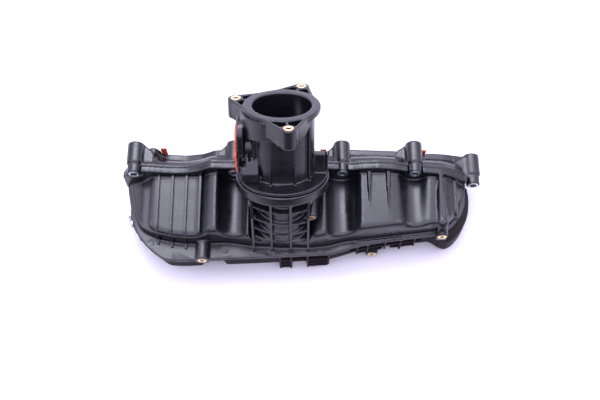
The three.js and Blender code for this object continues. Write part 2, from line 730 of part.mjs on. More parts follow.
function crankArm(y, z) {
  const arm = union([
    rodX(5.4, y, z, LEVER_LEFT, LEVER_LEFT + LEVER_THICK, 24),
    bar(y, z, y + REST_Y, z + REST_Z, EYE_R, LEVER_LEFT, LEVER_LEFT + LEVER_THICK),
    rodX(PIN_R, y + REST_Y, z + REST_Z, LEVER_LEFT + 1, LINK_LEFT + LINK_THICK + 0.4, 16),
  ]);
  return arm;
}

function shaftLever() {
  return crankArm(SHAFT_Y, PORT_Z)
    .subtract(rodX(SHAFT_R + GAP, SHAFT_Y, PORT_Z, LEVER_LEFT - 1, LEVER_LEFT + LEVER_THICK + 1, 20));
}

function actuatorCrank() {
  return crankArm(ACTUATOR_Y, ACTUATOR_Z)
    .add(rodX(SHAFT_R, ACTUATOR_Y, ACTUATOR_Z, LEVER_LEFT + 1, ACTUATOR_LEFT + 6, 20));
}

function linkRod() {
  const y0 = SHAFT_Y + REST_Y;
  const z0 = PORT_Z + REST_Z;
  const x1 = LINK_LEFT + LINK_THICK;
  const eyes = [[y0, z0], [y0 + LINK_Y, z0 + LINK_Z]];
  const body = union([
    bar(y0, z0, y0 + LINK_Y, z0 + LINK_Z, 2.2, LINK_LEFT, x1),
    ...eyes.map(([y, z]) => rodX(EYE_R, y, z, LINK_LEFT, x1, 24)),
  ]);
  return cut(body, eyes.map(([y, z]) => rodX(PIN_R + GAP, y, z, LINK_LEFT - 1, x1 + 1, 16)));
}

// ---------------------------------------------------------------- actuator
const ACTUATOR_LEFT = LEFT_END + 0.5;
const PLUG_X = ACTUATOR_LEFT + 11.5;
const ACTUATOR_RIGHT = PLENUM_LEFT - GAP - 2;
const ACTUATOR_COVER = 4;
const ACTUATOR_FRONT = -26;
const ACTUATOR_BACK = 14;
const ACTUATOR_SCREWS = [[-22, 24], [10, 24]];
const PAD_R = 5;

function actuatorOutline(grow) {
  const middle = (ACTUATOR_FRONT + ACTUATOR_BACK) / 2;
  return roundedBox(
    middle, 15.5, ACTUATOR_BACK - ACTUATOR_FRONT + grow, 27 + grow, 5,
  );
}

function actuatorHousing() {
  const left = ACTUATOR_LEFT + ACTUATOR_COVER + GAP;
  const body = prismX(actuatorOutline(0), left, ACTUATOR_RIGHT);
  const room = prismX(actuatorOutline(-5), left - 1, ACTUATOR_RIGHT - 2.5);
  const posts = ACTUATOR_SCREWS.map(([y, z]) => rodX(4.6, y, z, left, ACTUATOR_RIGHT, 16));
  const socket = prismY(roundedBox(PLUG_X, 12, 12, 10, 2), ACTUATOR_FRONT - 9, ACTUATOR_FRONT + 1)
    .subtract(prismY(roundedBox(PLUG_X, 12, 9.4, 7.4, 1.4), ACTUATOR_FRONT - 10, ACTUATOR_FRONT - 1));
  return cut(cut(body, [room]).add(union(posts)).add(socket).subtract(
    prismY(roundedBox(PLUG_X, 12, 9.4, 7.4, 1.4), ACTUATOR_FRONT - 10, ACTUATOR_FRONT - 1),
  ), ACTUATOR_SCREWS.map(([y, z]) => rodX(2.3, y, z, left - 1, ACTUATOR_RIGHT + 1, 16)));
}

function actuatorCover() {
  return cut(prismX(actuatorOutline(0), ACTUATOR_LEFT, ACTUATOR_LEFT + ACTUATOR_COVER), [
    rodX(SHAFT_R + GAP, ACTUATOR_Y, ACTUATOR_Z, ACTUATOR_LEFT - 1, ACTUATOR_LEFT + 5, 20),
    ...ACTUATOR_SCREWS.map(([y, z]) => rodX(2.3, y, z, ACTUATOR_LEFT - 1, ACTUATOR_LEFT + 5, 16)),
  ]);
}

function actuatorScrew([y, z]) {
  const head = rodX(3.6, y, z, ACTUATOR_LEFT - 2.2 - GAP, ACTUATOR_LEFT - GAP, 16);
  const stem = rodX(2, y, z, ACTUATOR_LEFT - 1, PLENUM_LEFT + 6, 16);
  return head.add(stem).subtract(rodX(1.5, y, z, ACTUATOR_LEFT - 4, ACTUATOR_LEFT - 1.3, 6));
}

function actuatorPads() {
  return ACTUATOR_SCREWS.map(([y, z]) => (
    rodX(PAD_R, y, z, ACTUATOR_RIGHT + GAP, PLENUM_LEFT + 9, 20)
      .add(block(ACTUATOR_RIGHT + GAP + 1, PLENUM_LEFT + 9, y - 2, y + 2, z, WELD_Z - 2))
  ));
}

function actuatorScrewHoles() {
  return ACTUATOR_SCREWS.map(([y, z]) => rodX(2.3, y, z, ACTUATOR_RIGHT - 1, PLENUM_LEFT + 6.5, 16));
}

// ---------------------------------------------------------------- inlet neck
const LUGS = [[-44.2, 16], [6.8, -51.4], [18.4, 45]];
const NECK_RIBS = [-52, -19, 22, 51];
const EGR_X = -42;
const EGR_THICK = 6;
const EGR_BORE_R = 13;
const EGR_T = 31;
const EGR_INSERTS = [[-16, 13], [14, 49]];
const INLET_INSERT_R = 5;
/** Side view of the wedge that stiffens the gas flange: across the neck, then along it. */
const BRACKET_SIDE = [[-27.5, 4.4], [-14, 4.4], [-14, 28], [-20, 28], [-27, 13]];

/** Outline of one lug of the throttle flange, seen along the neck. */
function lugOutline([x, y], r, spread) {
  const out = Math.atan2(y, x);
  const points = [];
  for (let i = 0; i <= 6; i += 1) {
    const a = out - Math.PI / 2 + 0.35 + ((Math.PI - 0.7) * i) / 6;
    points.push([x + r * Math.cos(a), y + r * Math.sin(a)]);
  }
  const root = INLET_RING_R - 2;
  const side = THREE.MathUtils.degToRad(spread);
  points.push([root * Math.cos(out + side), root * Math.sin(out + side)]);
  points.push([root * Math.cos(out - side), root * Math.sin(out - side)]);
  return points;
}

function lugPockets([x, y]) {
  const out = Math.atan2(y, x);
  const reach = Math.hypot(x, y);
  return [-1, 1].map((side) => {
    const at = (r, turn) => [
      r * Math.cos(out + side * turn),
      r * Math.sin(out + side * turn),
    ];
    const outline = [at(INLET_RING_R, 0.045), at(reach - LUG_R + 0.5, 0.03), at(INLET_RING_R, 0.46)];
    return prismZ(side > 0 ? outline : outline.reverse(), NECK_LENGTH - 13, NECK_LENGTH + 1);
  });
}

function inletNeck() {
  const tube = rodZ(NECK_BORE_R + NECK_WALL, 0, 0, GAP, NECK_LENGTH - 1, 48);
  const ring = rodZ(INLET_RING_R, 0, 0, NECK_LENGTH - INLET_RING_DEPTH, NECK_LENGTH, 48);
  const base = rodZ(BASE_FLANGE_R, 0, 0, GAP, BASE_FLANGE_UP, 48);
  const lugs = LUGS.map((lug) => prismZ(lugOutline(lug, LUG_R, 35), NECK_LENGTH - LUG_DEPTH, NECK_LENGTH));
  const ribs = NECK_RIBS.map((angle) => (
    block(-1, 1, -(NECK_BORE_R + NECK_WALL + 3), -NECK_BORE_R - 1, BASE_FLANGE_UP - 1, NECK_LENGTH - 12)
      .rotate([0, 0, angle])
  ));
  const egr = prismX(roundedBox(-1, EGR_T, 44, 61, 14), EGR_X, EGR_X + EGR_THICK)
    .intersect(block(-60, 60, -60, 60, GAP, 90));
  const spigot = rodX(EGR_BORE_R + WALL, 0, EGR_T, EGR_X + 1, -20, 28);
  const egrWeb = block(EGR_X + 2, -22, -2, 2, BASE_FLANGE_UP - 1, EGR_T + 26);
  const wedge = prismX(BRACKET_SIDE, EGR_X + 3.4, EGR_X + 20).subtract(block(-34, -31, -30, -12, 23, 30));
  const shelf = block(EGR_X + 1, -20, -25, -6, 5, 9);
  const tower = block(30.5, 44, -6, 3, BASE_FLANGE_UP - 1, 24).subtract(block(41.4, 42.2, -7, 1, 6, 26));
  const towerFoot = block(24, 34, -2, 3, BASE_FLANGE_UP - 1, 20);
  const whole = union([tube, ring, base, ...lugs, ...ribs, egr, spigot, egrWeb, wedge, shelf, tower, towerFoot]);
  const holes = [
    rodZ(NECK_BORE_R, 0, 0, -1, NECK_LENGTH + 1, 48),
    rodX(EGR_BORE_R, 0, EGR_T, EGR_X - 1, -10, 28),
    ...LUGS.flatMap(lugPockets),
    ...LUGS.map(([x, y]) => rodZ(INLET_INSERT_R + GAP, x, y, NECK_LENGTH - 14, NECK_LENGTH + 1, 20)),
    ...EGR_INSERTS.map(([y, t]) => rodX(3.5 + GAP, y, t, EGR_X - 1, EGR_X + EGR_THICK + 1, 18)),
  ];
  return onNeck(cut(whole, holes));
}

function inletInsert([x, y]) {
  return onNeck(rodZ(INLET_INSERT_R, x, y, NECK_LENGTH - 13.5, NECK_LENGTH + 0.4, 20)
    .subtract(rodZ(2.4, x, y, NECK_LENGTH - 15, NECK_LENGTH + 1, 16)));
}

function egrInsert([y, t]) {
  return onNeck(rodX(3.5, y, t, EGR_X - 0.2, EGR_X + EGR_THICK - 0.2, 18)
    .subtract(rodX(1.9, y, t, EGR_X - 1, EGR_X + EGR_THICK + 1, 14)));
}

function egrGasket() {
  const left = EGR_X - GAP - 2;
  const sheet = prismX(roundedBox(-1, EGR_T, 42, 45, 13), left, EGR_X - GAP)
    .add(block(left, left + 2, -28, -20, EGR_T - 3, EGR_T + 3));
  return onNeck(cut(sheet, [
    rodX(EGR_BORE_R + 1, 0, EGR_T, left - 1, EGR_X + 1, 28),
    ...EGR_INSERTS.map(([y, t]) => rodX(4.2, y, t, left - 1, EGR_X + 1, 18)),
  ]));
}

// ---------------------------------------------------------------- assembly
addNode('plenum_shell', plenumShell(), PLASTIC);
addNode('runner_shell', runnerShell(), PLASTIC);
addNode('head_flange_shell', headFlangeShell(), PLASTIC);
addNode('inlet_neck', inletNeck(), PLASTIC);

CYLINDERS.forEach((x, index) => {
  addNode(`port_gasket_${index + 1}`, portGasket(index), SILICONE);
  addNode(`swirl_flap_${index + 1}`, flap(x), PLASTIC_DARK);
});
addNode('egr_gasket', egrGasket(), SILICONE);

UPPER_BOLTS.forEach((bolt, index) => {
  addNode(`upper_sleeve_${index + 1}`, sleeve(bolt.x, bolt.z, BOSS_FRONT_Y - 0.5), STEEL);
});
LOWER_BOLTS.forEach((x, index) => {
  addNode(`lower_sleeve_${index + 1}`, sleeve(x, LOWER_BOLT_Z, FLANGE_Y), STEEL);
});

LUGS.forEach((lug, index) => addNode(`inlet_insert_${index + 1}`, inletInsert(lug), BRASS));
EGR_INSERTS.forEach((at, index) => addNode(`egr_insert_${index + 1}`, egrInsert(at), BRASS));
BODY_INSERTS.forEach((item) => {
  const body = rodY(INSERT_R, item.x, item.z, item.y - 0.4, item.y + INSERT_LENGTH, 20)
    .subtract(rodY(INSERT_BORE_R, item.x, item.z, item.y - 2, item.y + INSERT_LENGTH + 1, 16));
  addNode(item.name, body, BRASS);
});

addNode('flap_shaft', rodX(SHAFT_R, SHAFT_Y, PORT_Z, SHAFT_LEFT, SHAFT_RIGHT, 24), STEEL);
BUSHES.forEach((x, index) => addNode(`shaft_bush_${index + 1}`, bush(x), BRASS));
addNode('shaft_lever', shaftLever(), STEEL);
addNode('link_rod', linkRod(), STEEL);
addNode('actuator_crank', actuatorCrank(), STEEL);
addNode('actuator_housing', actuatorHousing(), PLASTIC_DARK);
addNode('actuator_cover', actuatorCover(), PLASTIC_DARK);
ACTUATOR_SCREWS.forEach((at, index) => addNode(`actuator_screw_${index + 1}`, actuatorScrew(at), STEEL));

// the origin is under the middle of the whole manifold, on the ground
const extent = new THREE.Box3().setFromObject(group);
const middle = extent.getCenter(new THREE.Vector3());
group.position.set(-middle.x, -middle.y, -extent.min.z);

export default group;
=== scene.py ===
"""Looks of the intake manifold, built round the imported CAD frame. Lengths here are in millimetres
in the modelling frame of the manifold and are turned into metres of the part's frame at the end."""

import math

import bpy
import numpy as np
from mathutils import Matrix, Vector


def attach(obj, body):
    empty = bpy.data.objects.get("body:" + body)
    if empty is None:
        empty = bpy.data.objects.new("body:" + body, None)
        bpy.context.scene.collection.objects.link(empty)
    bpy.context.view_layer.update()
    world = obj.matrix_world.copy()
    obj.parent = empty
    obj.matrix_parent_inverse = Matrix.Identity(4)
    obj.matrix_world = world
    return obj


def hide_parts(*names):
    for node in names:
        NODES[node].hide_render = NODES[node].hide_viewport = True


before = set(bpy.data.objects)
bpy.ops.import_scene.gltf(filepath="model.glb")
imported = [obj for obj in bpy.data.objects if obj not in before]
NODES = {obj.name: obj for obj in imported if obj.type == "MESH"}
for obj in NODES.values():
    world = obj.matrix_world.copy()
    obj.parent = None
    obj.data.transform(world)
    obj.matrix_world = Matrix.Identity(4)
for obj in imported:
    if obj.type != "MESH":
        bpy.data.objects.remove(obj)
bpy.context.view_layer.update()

MM = 0.001
ORIGIN = np.array([1.2, 9.9903, 0.0])
STEP = 0.9

# ------------------------------------------------------------------ sizes of the manifold
PITCH = 88
CYLINDERS = [-1.5 * PITCH, -0.5 * PITCH, 0.5 * PITCH, 1.5 * PITCH]
LOWER_BOLTS = [-PITCH, 0, PITCH]
LOWER_BOLT_Z = 9.5
UPPER_BOLTS = [(-166.5, 68, 0), (-66, 70, 15), (42.4, 70, 16), (115.2, 69, 14), (178, 41.3, 0)]
WELD_Z = 35
UPPER_Z = 35.3
PLATE_TOP = 39
SPLIT_Y = 21.0
FLANGE_Y = 21.3
SLEEVE_FRONT_LOW = 18.7
RIM_FRONT = 14.4
RIM_BACK = 24.8
HEAD_Y = 47
PLATE_FRONT = 40
FOOT_Z = 3
PORT_Z = 27
PORT_OFFSET = 13
SHAFT_Y = 36
NECK_AT = (-17, 4, 90)
NECK_TILT = math.radians(36)
NECK_LENGTH = 73
BORE_R = 28
LUGS = [(-44.2, 16), (6.8, -51.4), (18.4, 45)]
# bosses of the brass inserts on the body: x, z, front, back and radius
BODY_INSERTS = [
    (-97, 42.5, -69, -42, 7), (10.5, 77, -38, -8, 6.5), (74, 11, -50.5, -38, 6.5), (142, 45, -45, -10, 5.8),
]
EGR_X = -42
EGR_T = 31
EGR_INSERTS = [(-16, 13), (14, 49)]
SLEEVE_R = 5.5
SLEEVE_BORE_R = 3.5
SLEEVE_SEAT_R = 5.8
SLEEVE_FRONT = 13.1
TOOL_WAY_R = 9
BOSS_R = 7.0
BOSS_BACK_R = 8.3
LOWER_BOSS_R = 7.4
LUG_R = 7.5
INSERT_SEAT_R = 4.9
INSERT_SEAT_DEPTH = 11.5
ROOM_WIDTH = 46
ACTUATOR_SCREWS = (-22, 10)
SCREW_Z = 24

# the weld lip seen from above, then heights along the manifold: (x, y) and (x, z) pairs
OUTLINE = [
    (-178.5, 22), (-176.5, 8), (-174, -4), (-171, -19), (-167.5, -32), (-161.5, -44), (-149, -57.5),
    (-136, -67), (-118, -68), (-86, -66.2), (-56, -65.3), (-20, -63.4), (30, -60.8), (42, -57.6),
    (57, -52.4), (75, -48.8), (101, -45), (142, -39.8), (154, -32.5), (164, -19), (169, -6), (171, 22),
]
FRONT_WALL = [
    (-177, -8), (-172, -19), (-166, -29), (-158, -37), (-144, -44), (-127, -48), (-112, -49.5),
    (-97, -49.5), (-86, -48.6), (-68, -48.6), (-50, -52), (8, -54), (28, -52), (45, -47),
    (65, -45), (101, -41), (142, -36),
    (156, -28), (163, -16), (168, -3),
]
CROWN = [
    (-177, 42), (-171, 44.5), (-163, 47.5), (-158, 50.5), (-154, 56), (-150.5, 60.5),
    (-146, 62), (-140, 61.5), (-104, 61.5), (-97, 64), (-90, 71), (-80, 73),
    (-52, 73), (-45, 56), (5, 56), (13, 70), (26, 73), (58, 71), (92, 71), (100, 68), (122, 64),
    (146, 61), (156, 53), (164, 45), (168, 42),
]
RIM = [
    (-179, 58), (-174, 66), (-160, 73), (-141, 70), (-126, 68), (-112, 69), (-101, 73),
    (-90, 81), (-74, 80), (28, 79), (50, 76), (62, 79), (78, 80), (96, 77.5), (108, 73),
    (126, 70), (145, 67), (158, 59), (168, 51),
]
HEAD_EDGE = [
    (-172, 42), (-160, 56), (-152, 62), (-146, 61), (-142, 49), (-135, 46), (-118, 44), (-100, 48),
    (-88, 56), (-60, 58), (8, 58), (14, 54), (30, 54), (38, 58), (60, 57), (100, 54),
    (120, 50), (150, 47), (160, 44), (168, 38),
]


class Profile:
    """A smooth curve over x through measured heights, with its slope."""

    def __init__(self, points, soft=2.2):
        x = np.arange(points[0][0] - 12, points[-1][0] + 12, 0.5)
        v = np.interp(x, [p[0] for p in points], [p[1] for p in points])
        width = int(soft * 6)
        kernel = np.exp(-0.5 * (np.arange(-width, width + 1) * 0.5 / soft) ** 2)
        kernel /= kernel.sum()
        self.x = x
        self.v = np.convolve(np.pad(v, width, mode="edge"), kernel, mode="valid")
        self.s = np.gradient(self.v, x)

    def at(self, x):
        return np.interp(x, self.x, self.v)

    def stretch(self, x):
        """Length of the surface per length in x, to turn a height difference into a distance."""
        return np.sqrt(1 + np.interp(x, self.x, self.s) ** 2)


front_wall = Profile(FRONT_WALL, 4)
crown = Profile(CROWN, 2.4)
rim_top = Profile(RIM, 2.2)
rim_low = Profile([(x, z - 1.3) for x, z in RIM], 2.2)
head_edge = Profile(HEAD_EDGE, 2.0)


# ------------------------------------------------------------------ distance fields
def smin(a, b, k):
    if k <= 0:
        return np.minimum(a, b)
    h = np.clip(0.5 + 0.5 * (b - a) / k, 0, 1)
    return b * (1 - h) + a * h - k * h * (1 - h)


def smax(a, b, k):
    return -smin(-a, -b, k)


def bounded(distance, low, high):
    """Gives a distance the box in which its shape lies, so a field works only there."""
    distance.box = (low, high)
    return distance


def turned(axis, x, y, z):
    """A place as its two coordinates across an axis, then the one along it."""
    return {"x": (y, z, x), "y": (x, z, y), "z": (x, y, z)}[axis]


def straight(axis, u, v, w):
    """A place in x, y and z, from two coordinates across an axis and the one along it."""
    return {"x": (w, u, v), "y": (u, w, v), "z": (u, v, w)}[axis]


def box_d(x0, x1, y0, y1, z0, z1, r=0.6):
    def distance(x, y, z):
        qx = np.abs(x - (x0 + x1) / 2) - (x1 - x0) / 2 + r
        qy = np.abs(y - (y0 + y1) / 2) - (y1 - y0) / 2 + r
        qz = np.abs(z - (z0 + z1) / 2) - (z1 - z0) / 2 + r
        out = np.sqrt(np.maximum(qx, 0) ** 2 + np.maximum(qy, 0) ** 2 + np.maximum(qz, 0) ** 2)
        return out + np.minimum(np.maximum(np.maximum(qx, qy), qz), 0) - r
    return bounded(distance, (x0, y0, z0), (x1, y1, z1))


def rounded(d2, dw, r):
    """A flat shape of distance d2, given thickness by the distance dw, with edges of radius r."""
    a = d2 + r
    b = dw + r
    return np.sqrt(np.maximum(a, 0) ** 2 + np.maximum(b, 0) ** 2) + np.minimum(np.maximum(a, b), 0) - r


def rod_d(axis, u, v, radius, w0, w1, r=0.5):
    """Round rod along an axis; u and v are its place in the two other axes."""
    def distance(x, y, z):
        p = turned(axis, x, y, z)
        d2 = np.sqrt((p[0] - u) ** 2 + (p[1] - v) ** 2) - radius
        return rounded(d2, np.abs(p[2] - (w0 + w1) / 2) - (w1 - w0) / 2, r)
    low = straight(axis, u - radius, v - radius, w0)
    return bounded(distance, low, straight(axis, u + radius, v + radius, w1))


def polygon_d(points, u, v):
    """Signed distance to a closed outline, less than nought inside."""
    shape = np.broadcast(u, v).shape
    best = np.full(shape, 1e9, np.float32)
    inside = np.zeros(shape, bool)
    count = len(points)
    for i in range(count):
        ax, ay = points[i]
        bx, by = points[(i + 1) % count]
        ex, ey = bx - ax, by - ay
        wx, wy = u - ax, v - ay
        t = np.clip((wx * ex + wy * ey) / (ex * ex + ey * ey + 1e-9), 0, 1)
        best = np.minimum(best, (wx - ex * t) ** 2 + (wy - ey * t) ** 2)
        if ay != by:
            crossing = ((ay > v) != (by > v)) & (u < ex * (v - ay) / ey + ax)
            inside ^= crossing
    return np.where(inside, -1, 1) * np.sqrt(best)


def prism_d(axis, points, w0, w1, r=0.6):
    def distance(x, y, z):
        p = turned(axis, x, y, z)
        return rounded(polygon_d(points, p[0], p[1]), np.abs(p[2] - (w0 + w1) / 2) - (w1 - w0) / 2, r)
    low = straight(axis, min(u for u, _ in points), min(v for _, v in points), w0)
    high = straight(axis, max(u for u, _ in points), max(v for _, v in points), w1)
    return bounded(distance, low, high)


def slot_d(axis, cu, cv, width, height, corner, w0, w1, r=0.5):
    """Block with a rounded rectangle as its section across the axis."""
    def distance(x, y, z):
        p = turned(axis, x, y, z)
        qu = np.abs(p[0] - cu) - width / 2 + corner
        qv = np.abs(p[1] - cv) - height / 2 + corner
        d2 = np.sqrt(np.maximum(qu, 0) ** 2 + np.maximum(qv, 0) ** 2)
        d2 = d2 + np.minimum(np.maximum(qu, qv), 0) - corner
        return rounded(d2, np.abs(p[2] - (w0 + w1) / 2) - (w1 - w0) / 2, r)
    low = straight(axis, cu - width / 2, cv - height / 2, w0)
    return bounded(distance, low, straight(axis, cu + width / 2, cv + height / 2, w1))


def capsule_d(start, end, r_start, r_end=None):
    """Round-ended rod between two points, tapering if its two radii differ."""
    r_end = r_start if r_end is None else r_end

    def distance(x, y, z):
        e = [b - a for a, b in zip(start, end)]
        w = (x - start[0], y - start[1], z - start[2])
        t = np.clip((w[0] * e[0] + w[1] * e[1] + w[2] * e[2]) / sum(v * v for v in e), 0, 1)
        gap = [w[i] - e[i] * t for i in range(3)]
        return np.sqrt(gap[0] ** 2 + gap[1] ** 2 + gap[2] ** 2) - r_start - (r_end - r_start) * t
    widest = max(r_start, r_end)
    low = [min(a, b) - widest for a, b in zip(start, end)]
    return bounded(distance, low, [max(a, b) + widest for a, b in zip(start, end)])


def soft_chain(points, turns=2, share=0.82):
    """Rounds the bends of an open line and keeps its ends."""
    for _ in range(turns):
        fresh = [points[0]]
        for a, b in zip(points[:-1], points[1:]):
            rest = 1 - share
            fresh.append((share * a[0] + rest * b[0], share * a[1] + rest * b[1]))
            fresh.append((rest * a[0] + share * b[0], rest * a[1] + share * b[1]))
        fresh.append(points[-1])
        points = fresh
    return points


class Field:
    """A block of space in which solids are joined and cut as distances, then skinned."""

    def __init__(self, low, high, step):
        self.box = (low, high)
        self.low = np.array(low, float)
        self.step = step
        axes = [np.arange(low[i], high[i] + step, step) for i in range(3)]
        self.axes = axes
        self.f = np.full([len(a) for a in axes], 12.0, np.float32)

    def window(self, distance, low, high, margin):
        """Part of the field round a shape: the box given, else the shape's own, else all of it."""
        if low is None:
            low, high = getattr(distance, "box", self.box)
        cuts = []
        for i in range(3):
            start = int(max(0, math.floor((low[i] - margin - self.low[i]) / self.step)))
            stop = int(min(len(self.axes[i]), math.ceil((high[i] + margin - self.low[i]) / self.step) + 1))
            cuts.append(slice(start, max(start, stop)))
        x = self.axes[0][cuts[0]][:, None, None]
        y = self.axes[1][cuts[1]][None, :, None]
        z = self.axes[2][cuts[2]][None, None, :]
        return tuple(cuts), x, y, z

    def add(self, distance, low=None, high=None, k=1.5):
        """Joins a shape on, with a fillet of about k."""
        cuts, x, y, z = self.window(distance, low, high, 3 + k)
        self.f[cuts] = smin(self.f[cuts], distance(x, y, z), k)

    def cut(self, distance, low=None, high=None, k=0.8):
        """Cuts a shape away, with edges rounded by about k."""
        cuts, x, y, z = self.window(distance, low, high, 3 + k)
        self.f[cuts] = smax(self.f[cuts], -distance(x, y, z), k)

    def keep(self, distance, k=0.0):
        x = self.axes[0][:, None, None]
        y = self.axes[1][None, :, None]
        z = self.axes[2][None, None, :]
        self.f = smax(self.f, distance(x, y, z), k).astype(np.float32)

    def skin(self):
        """Surface of the field as points in millimetres and quads."""
        f = self.f
        f[0], f[-1], f[:, 0], f[:, -1], f[:, :, 0], f[:, :, -1] = 1, 1, 1, 1, 1, 1
        solid = f < 0
        corners = [(i, j, k) for i in (0, 1) for j in (0, 1) for k in (0, 1)]
        n = [s - 1 for s in f.shape]
        count = np.zeros(n, np.uint8)
        for i, j, k in corners:
            count += solid[i:i + n[0], j:j + n[1], k:k + n[2]]
        active = (count > 0) & (count < 8)
        cells = np.argwhere(active)
        index = np.full(n, -1, np.int64)
        index[active] = np.arange(len(cells))
        total = np.zeros((len(cells), 3))
        hits = np.zeros(len(cells))
        for a in corners:
            for axis in range(3):
                if a[axis]:
                    continue
                b = list(a)
                b[axis] = 1
                fa = f[cells[:, 0] + a[0], cells[:, 1] + a[1], cells[:, 2] + a[2]]
                fb = f[cells[:, 0] + b[0], cells[:, 1] + b[1], cells[:, 2] + b[2]]
                cross = (fa < 0) != (fb < 0)
                t = np.where(cross, fa / np.where(fa == fb, 1, fa - fb), 0)
                place = np.array(a, float)[None, :].repeat(len(cells), 0)
                place[:, axis] += t
                total[cross] += place[cross]
                hits[cross] += 1
        points = (cells + total / hits[:, None]) * self.step + self.low
        quads = []
        for axis in range(3):
            u, v = [(1, 2), (2, 0), (0, 1)][axis]
            first = [slice(1, -1)] * 3
            first[axis] = slice(0, -1)
            second = list(first)
            second[axis] = slice(1, None)
            sa, sb = solid[tuple(first)], solid[tuple(second)]
            at = np.argwhere(sa != sb)
            if not len(at):
                continue
            flip = sb[at[:, 0], at[:, 1], at[:, 2]]
            base = at + 1
            base[:, axis] -= 1
            ring = []
            for du, dv in ((-1, -1), (0, -1), (0, 0), (-1, 0)):
                c = base.copy()
                c[:, u] += du
                c[:, v] += dv
                ring.append(index[c[:, 0], c[:, 1], c[:, 2]])
            quad = np.stack(ring, 1)
            quad[flip] = quad[flip][:, ::-1]
            quads.append(quad)
        return points, np.concatenate(quads)


def make_mesh(name, points, quads):
    """Object from points in millimetres of the modelling frame."""
    mesh = bpy.data.meshes.new(name)
    mesh.from_pydata(((points - ORIGIN) * MM).tolist(), [], quads.tolist())
    mesh.polygons.foreach_set("use_smooth", [True] * len(mesh.polygons))
    mesh.validate()
    piece = bpy.data.objects.new(name, mesh)
    bpy.context.scene.collection.objects.link(piece)
    return piece


def thin_out(piece, ratio):
    decimate = piece.modifiers.new("thin_out", "DECIMATE")
    decimate.ratio = ratio


# ------------------------------------------------------------------ the duct under the neck
def neck_point(x, y, t):
    s, c = math.sin(NECK_TILT), math.cos(NECK_TILT)
    return (NECK_AT[0] + x, NECK_AT[1] + y * c + t * s, NECK_AT[2] - y * s + t * c)


def duct_d(shrink):
    line = [(2.5, 88, 33), (-9, 72, 32), (-20, 55, 29.5), (-26, 38, 27.5)]

    def distance(x, y, z):
        best = None
        for (y0, z0, r0), (y1, z1, r1) in zip(line[:-1], line[1:]):
            ey, ez = y1 - y0, z1 - z0
            t = np.clip(((y - y0) * ey + (z - z0) * ez) / (ey * ey + ez * ez), 0, 1)
            dy, dz = y - y0 - ey * t, z - z0 - ez * t
            d = np.sqrt((x - NECK_AT[0]) ** 2 + dy ** 2 + dz ** 2) - (r0 + (r1 - r0) * t - shrink)
            best = d if best is None else smin(best, d, 4)
        s, c = math.sin(NECK_TILT), math.cos(NECK_TILT)
        above = (y - NECK_AT[1]) * s + (z - NECK_AT[2]) * c
        return smax(best, above + (-1 if shrink else 1), 0)
    return distance


DUCT_RIBS = [-46, -28, -9, 8]
SHELVES = [(-41, 93), (-46.5, 78), (-50.5, 64), (-53.5, 51)]


def duct_rib_outline(x):
    s, c = math.sin(NECK_TILT), math.cos(NECK_TILT)
    chord = math.sqrt(45.5 ** 2 - (x - NECK_AT[0]) ** 2)
    top = (NECK_AT[1] - 5.5 * s - chord * c, NECK_AT[2] - 5.5 * c + chord * s)
    return [top, (-43.5, 88), (-50, 68), (-53.5, 52), (-57.5, 42), (-58.5, 38), (-20, 38), (-5, 80)]


def shelf(y_front, z_level):
    def distance(x, y, z):
        u = np.clip((x - NECK_AT[0] - 2) / 29, -1, 1)
        sag = 3 * (1 - u * u)
        dz = np.abs(z - z_level - 1.5 + sag) - 0.95
        dy = np.maximum(y_front + 6 * u * u - y, y + 18)
        dx = np.maximum(DUCT_RIBS[0] - x, x - DUCT_RIBS[3])
        return np.maximum(np.maximum(dz, dy), dx)
    return distance


# ------------------------------------------------------------------ upper shell
OUTLINE_SOFT = soft_chain(OUTLINE) + [(172, 60), (-184, 60)]


def outline_front(x):
    """Front edge of the outline at one place along the manifold."""
    return float(np.interp(x, [p[0] for p in OUTLINE], [p[1] for p in OUTLINE]))


def crown_d(x, y, z):
    front = front_wall.at(x)
    top = crown.at(x) - 5 * (SPLIT_Y - y) / (SPLIT_Y - front)
    lid = (z - top) / crown.stretch(x)
    wall = (front - y) / front_wall.stretch(x)
    ends = polygon_d(OUTLINE_SOFT, x, y) + 2.6
    return smax(smax(lid, wall, 6.5), ends, 5)


TOP_RIBS = [-142, -128, -114, -100]
TAPER_RIBS = [(69, -20), (88, -28)]


def crown_top(x, y):
    """Height of the crown's skin at one point, with its rounded front."""
    z = np.arange(PLATE_TOP, 90, 0.25)
    d = crown_d(x, y, z)
    inside = z[d < 0]
    return float(inside[-1]) if len(inside) else PLATE_TOP


def top_rib_outline(x, rise):
    """Side view of a rib that follows the crown and ends in a low nose on the lip."""
    y_front = float(front_wall.at(x))
    steps = [(y_front + s, crown_top(x, y_front + s) + rise) for s in (3, 4.5, 6.5, 9, 13, 20, 32)]
    nose = [(y_front - 6.5, 38), (y_front - 6.5, PLATE_TOP + 1.5), (y_front - 2, PLATE_TOP + 3.5)]
    return nose + steps + [(16, crown_top(x, 14) + rise), (16, 38)]


def taper_rib(x, y_front, rise):
    """Rib that rises and widens from a point towards the rim."""
    steps = np.arange(y_front - 8, 17, 1.0)
    skin = np.array([crown_top(x, y) for y in steps])

    def distance(px, py, pz):
        share = np.clip((py - y_front) / (15 - y_front), 0, 1)
        half = 0.35 + 1.7 * share
        lid = pz - np.interp(py, steps, skin) - 0.5 - rise * share
        return np.maximum(np.maximum(np.abs(px - x) - half, lid), np.maximum(y_front - py, py - 15))
    return distance


def bead_d(x, y_front, radius):
    """Thin ridge that lies on the crown's skin."""
    def distance(px, py, pz):
        d = np.sqrt((px - x) ** 2 + crown_d(px, py, pz) ** 2) - radius
        return np.maximum(d, y_front - py)
    return distance


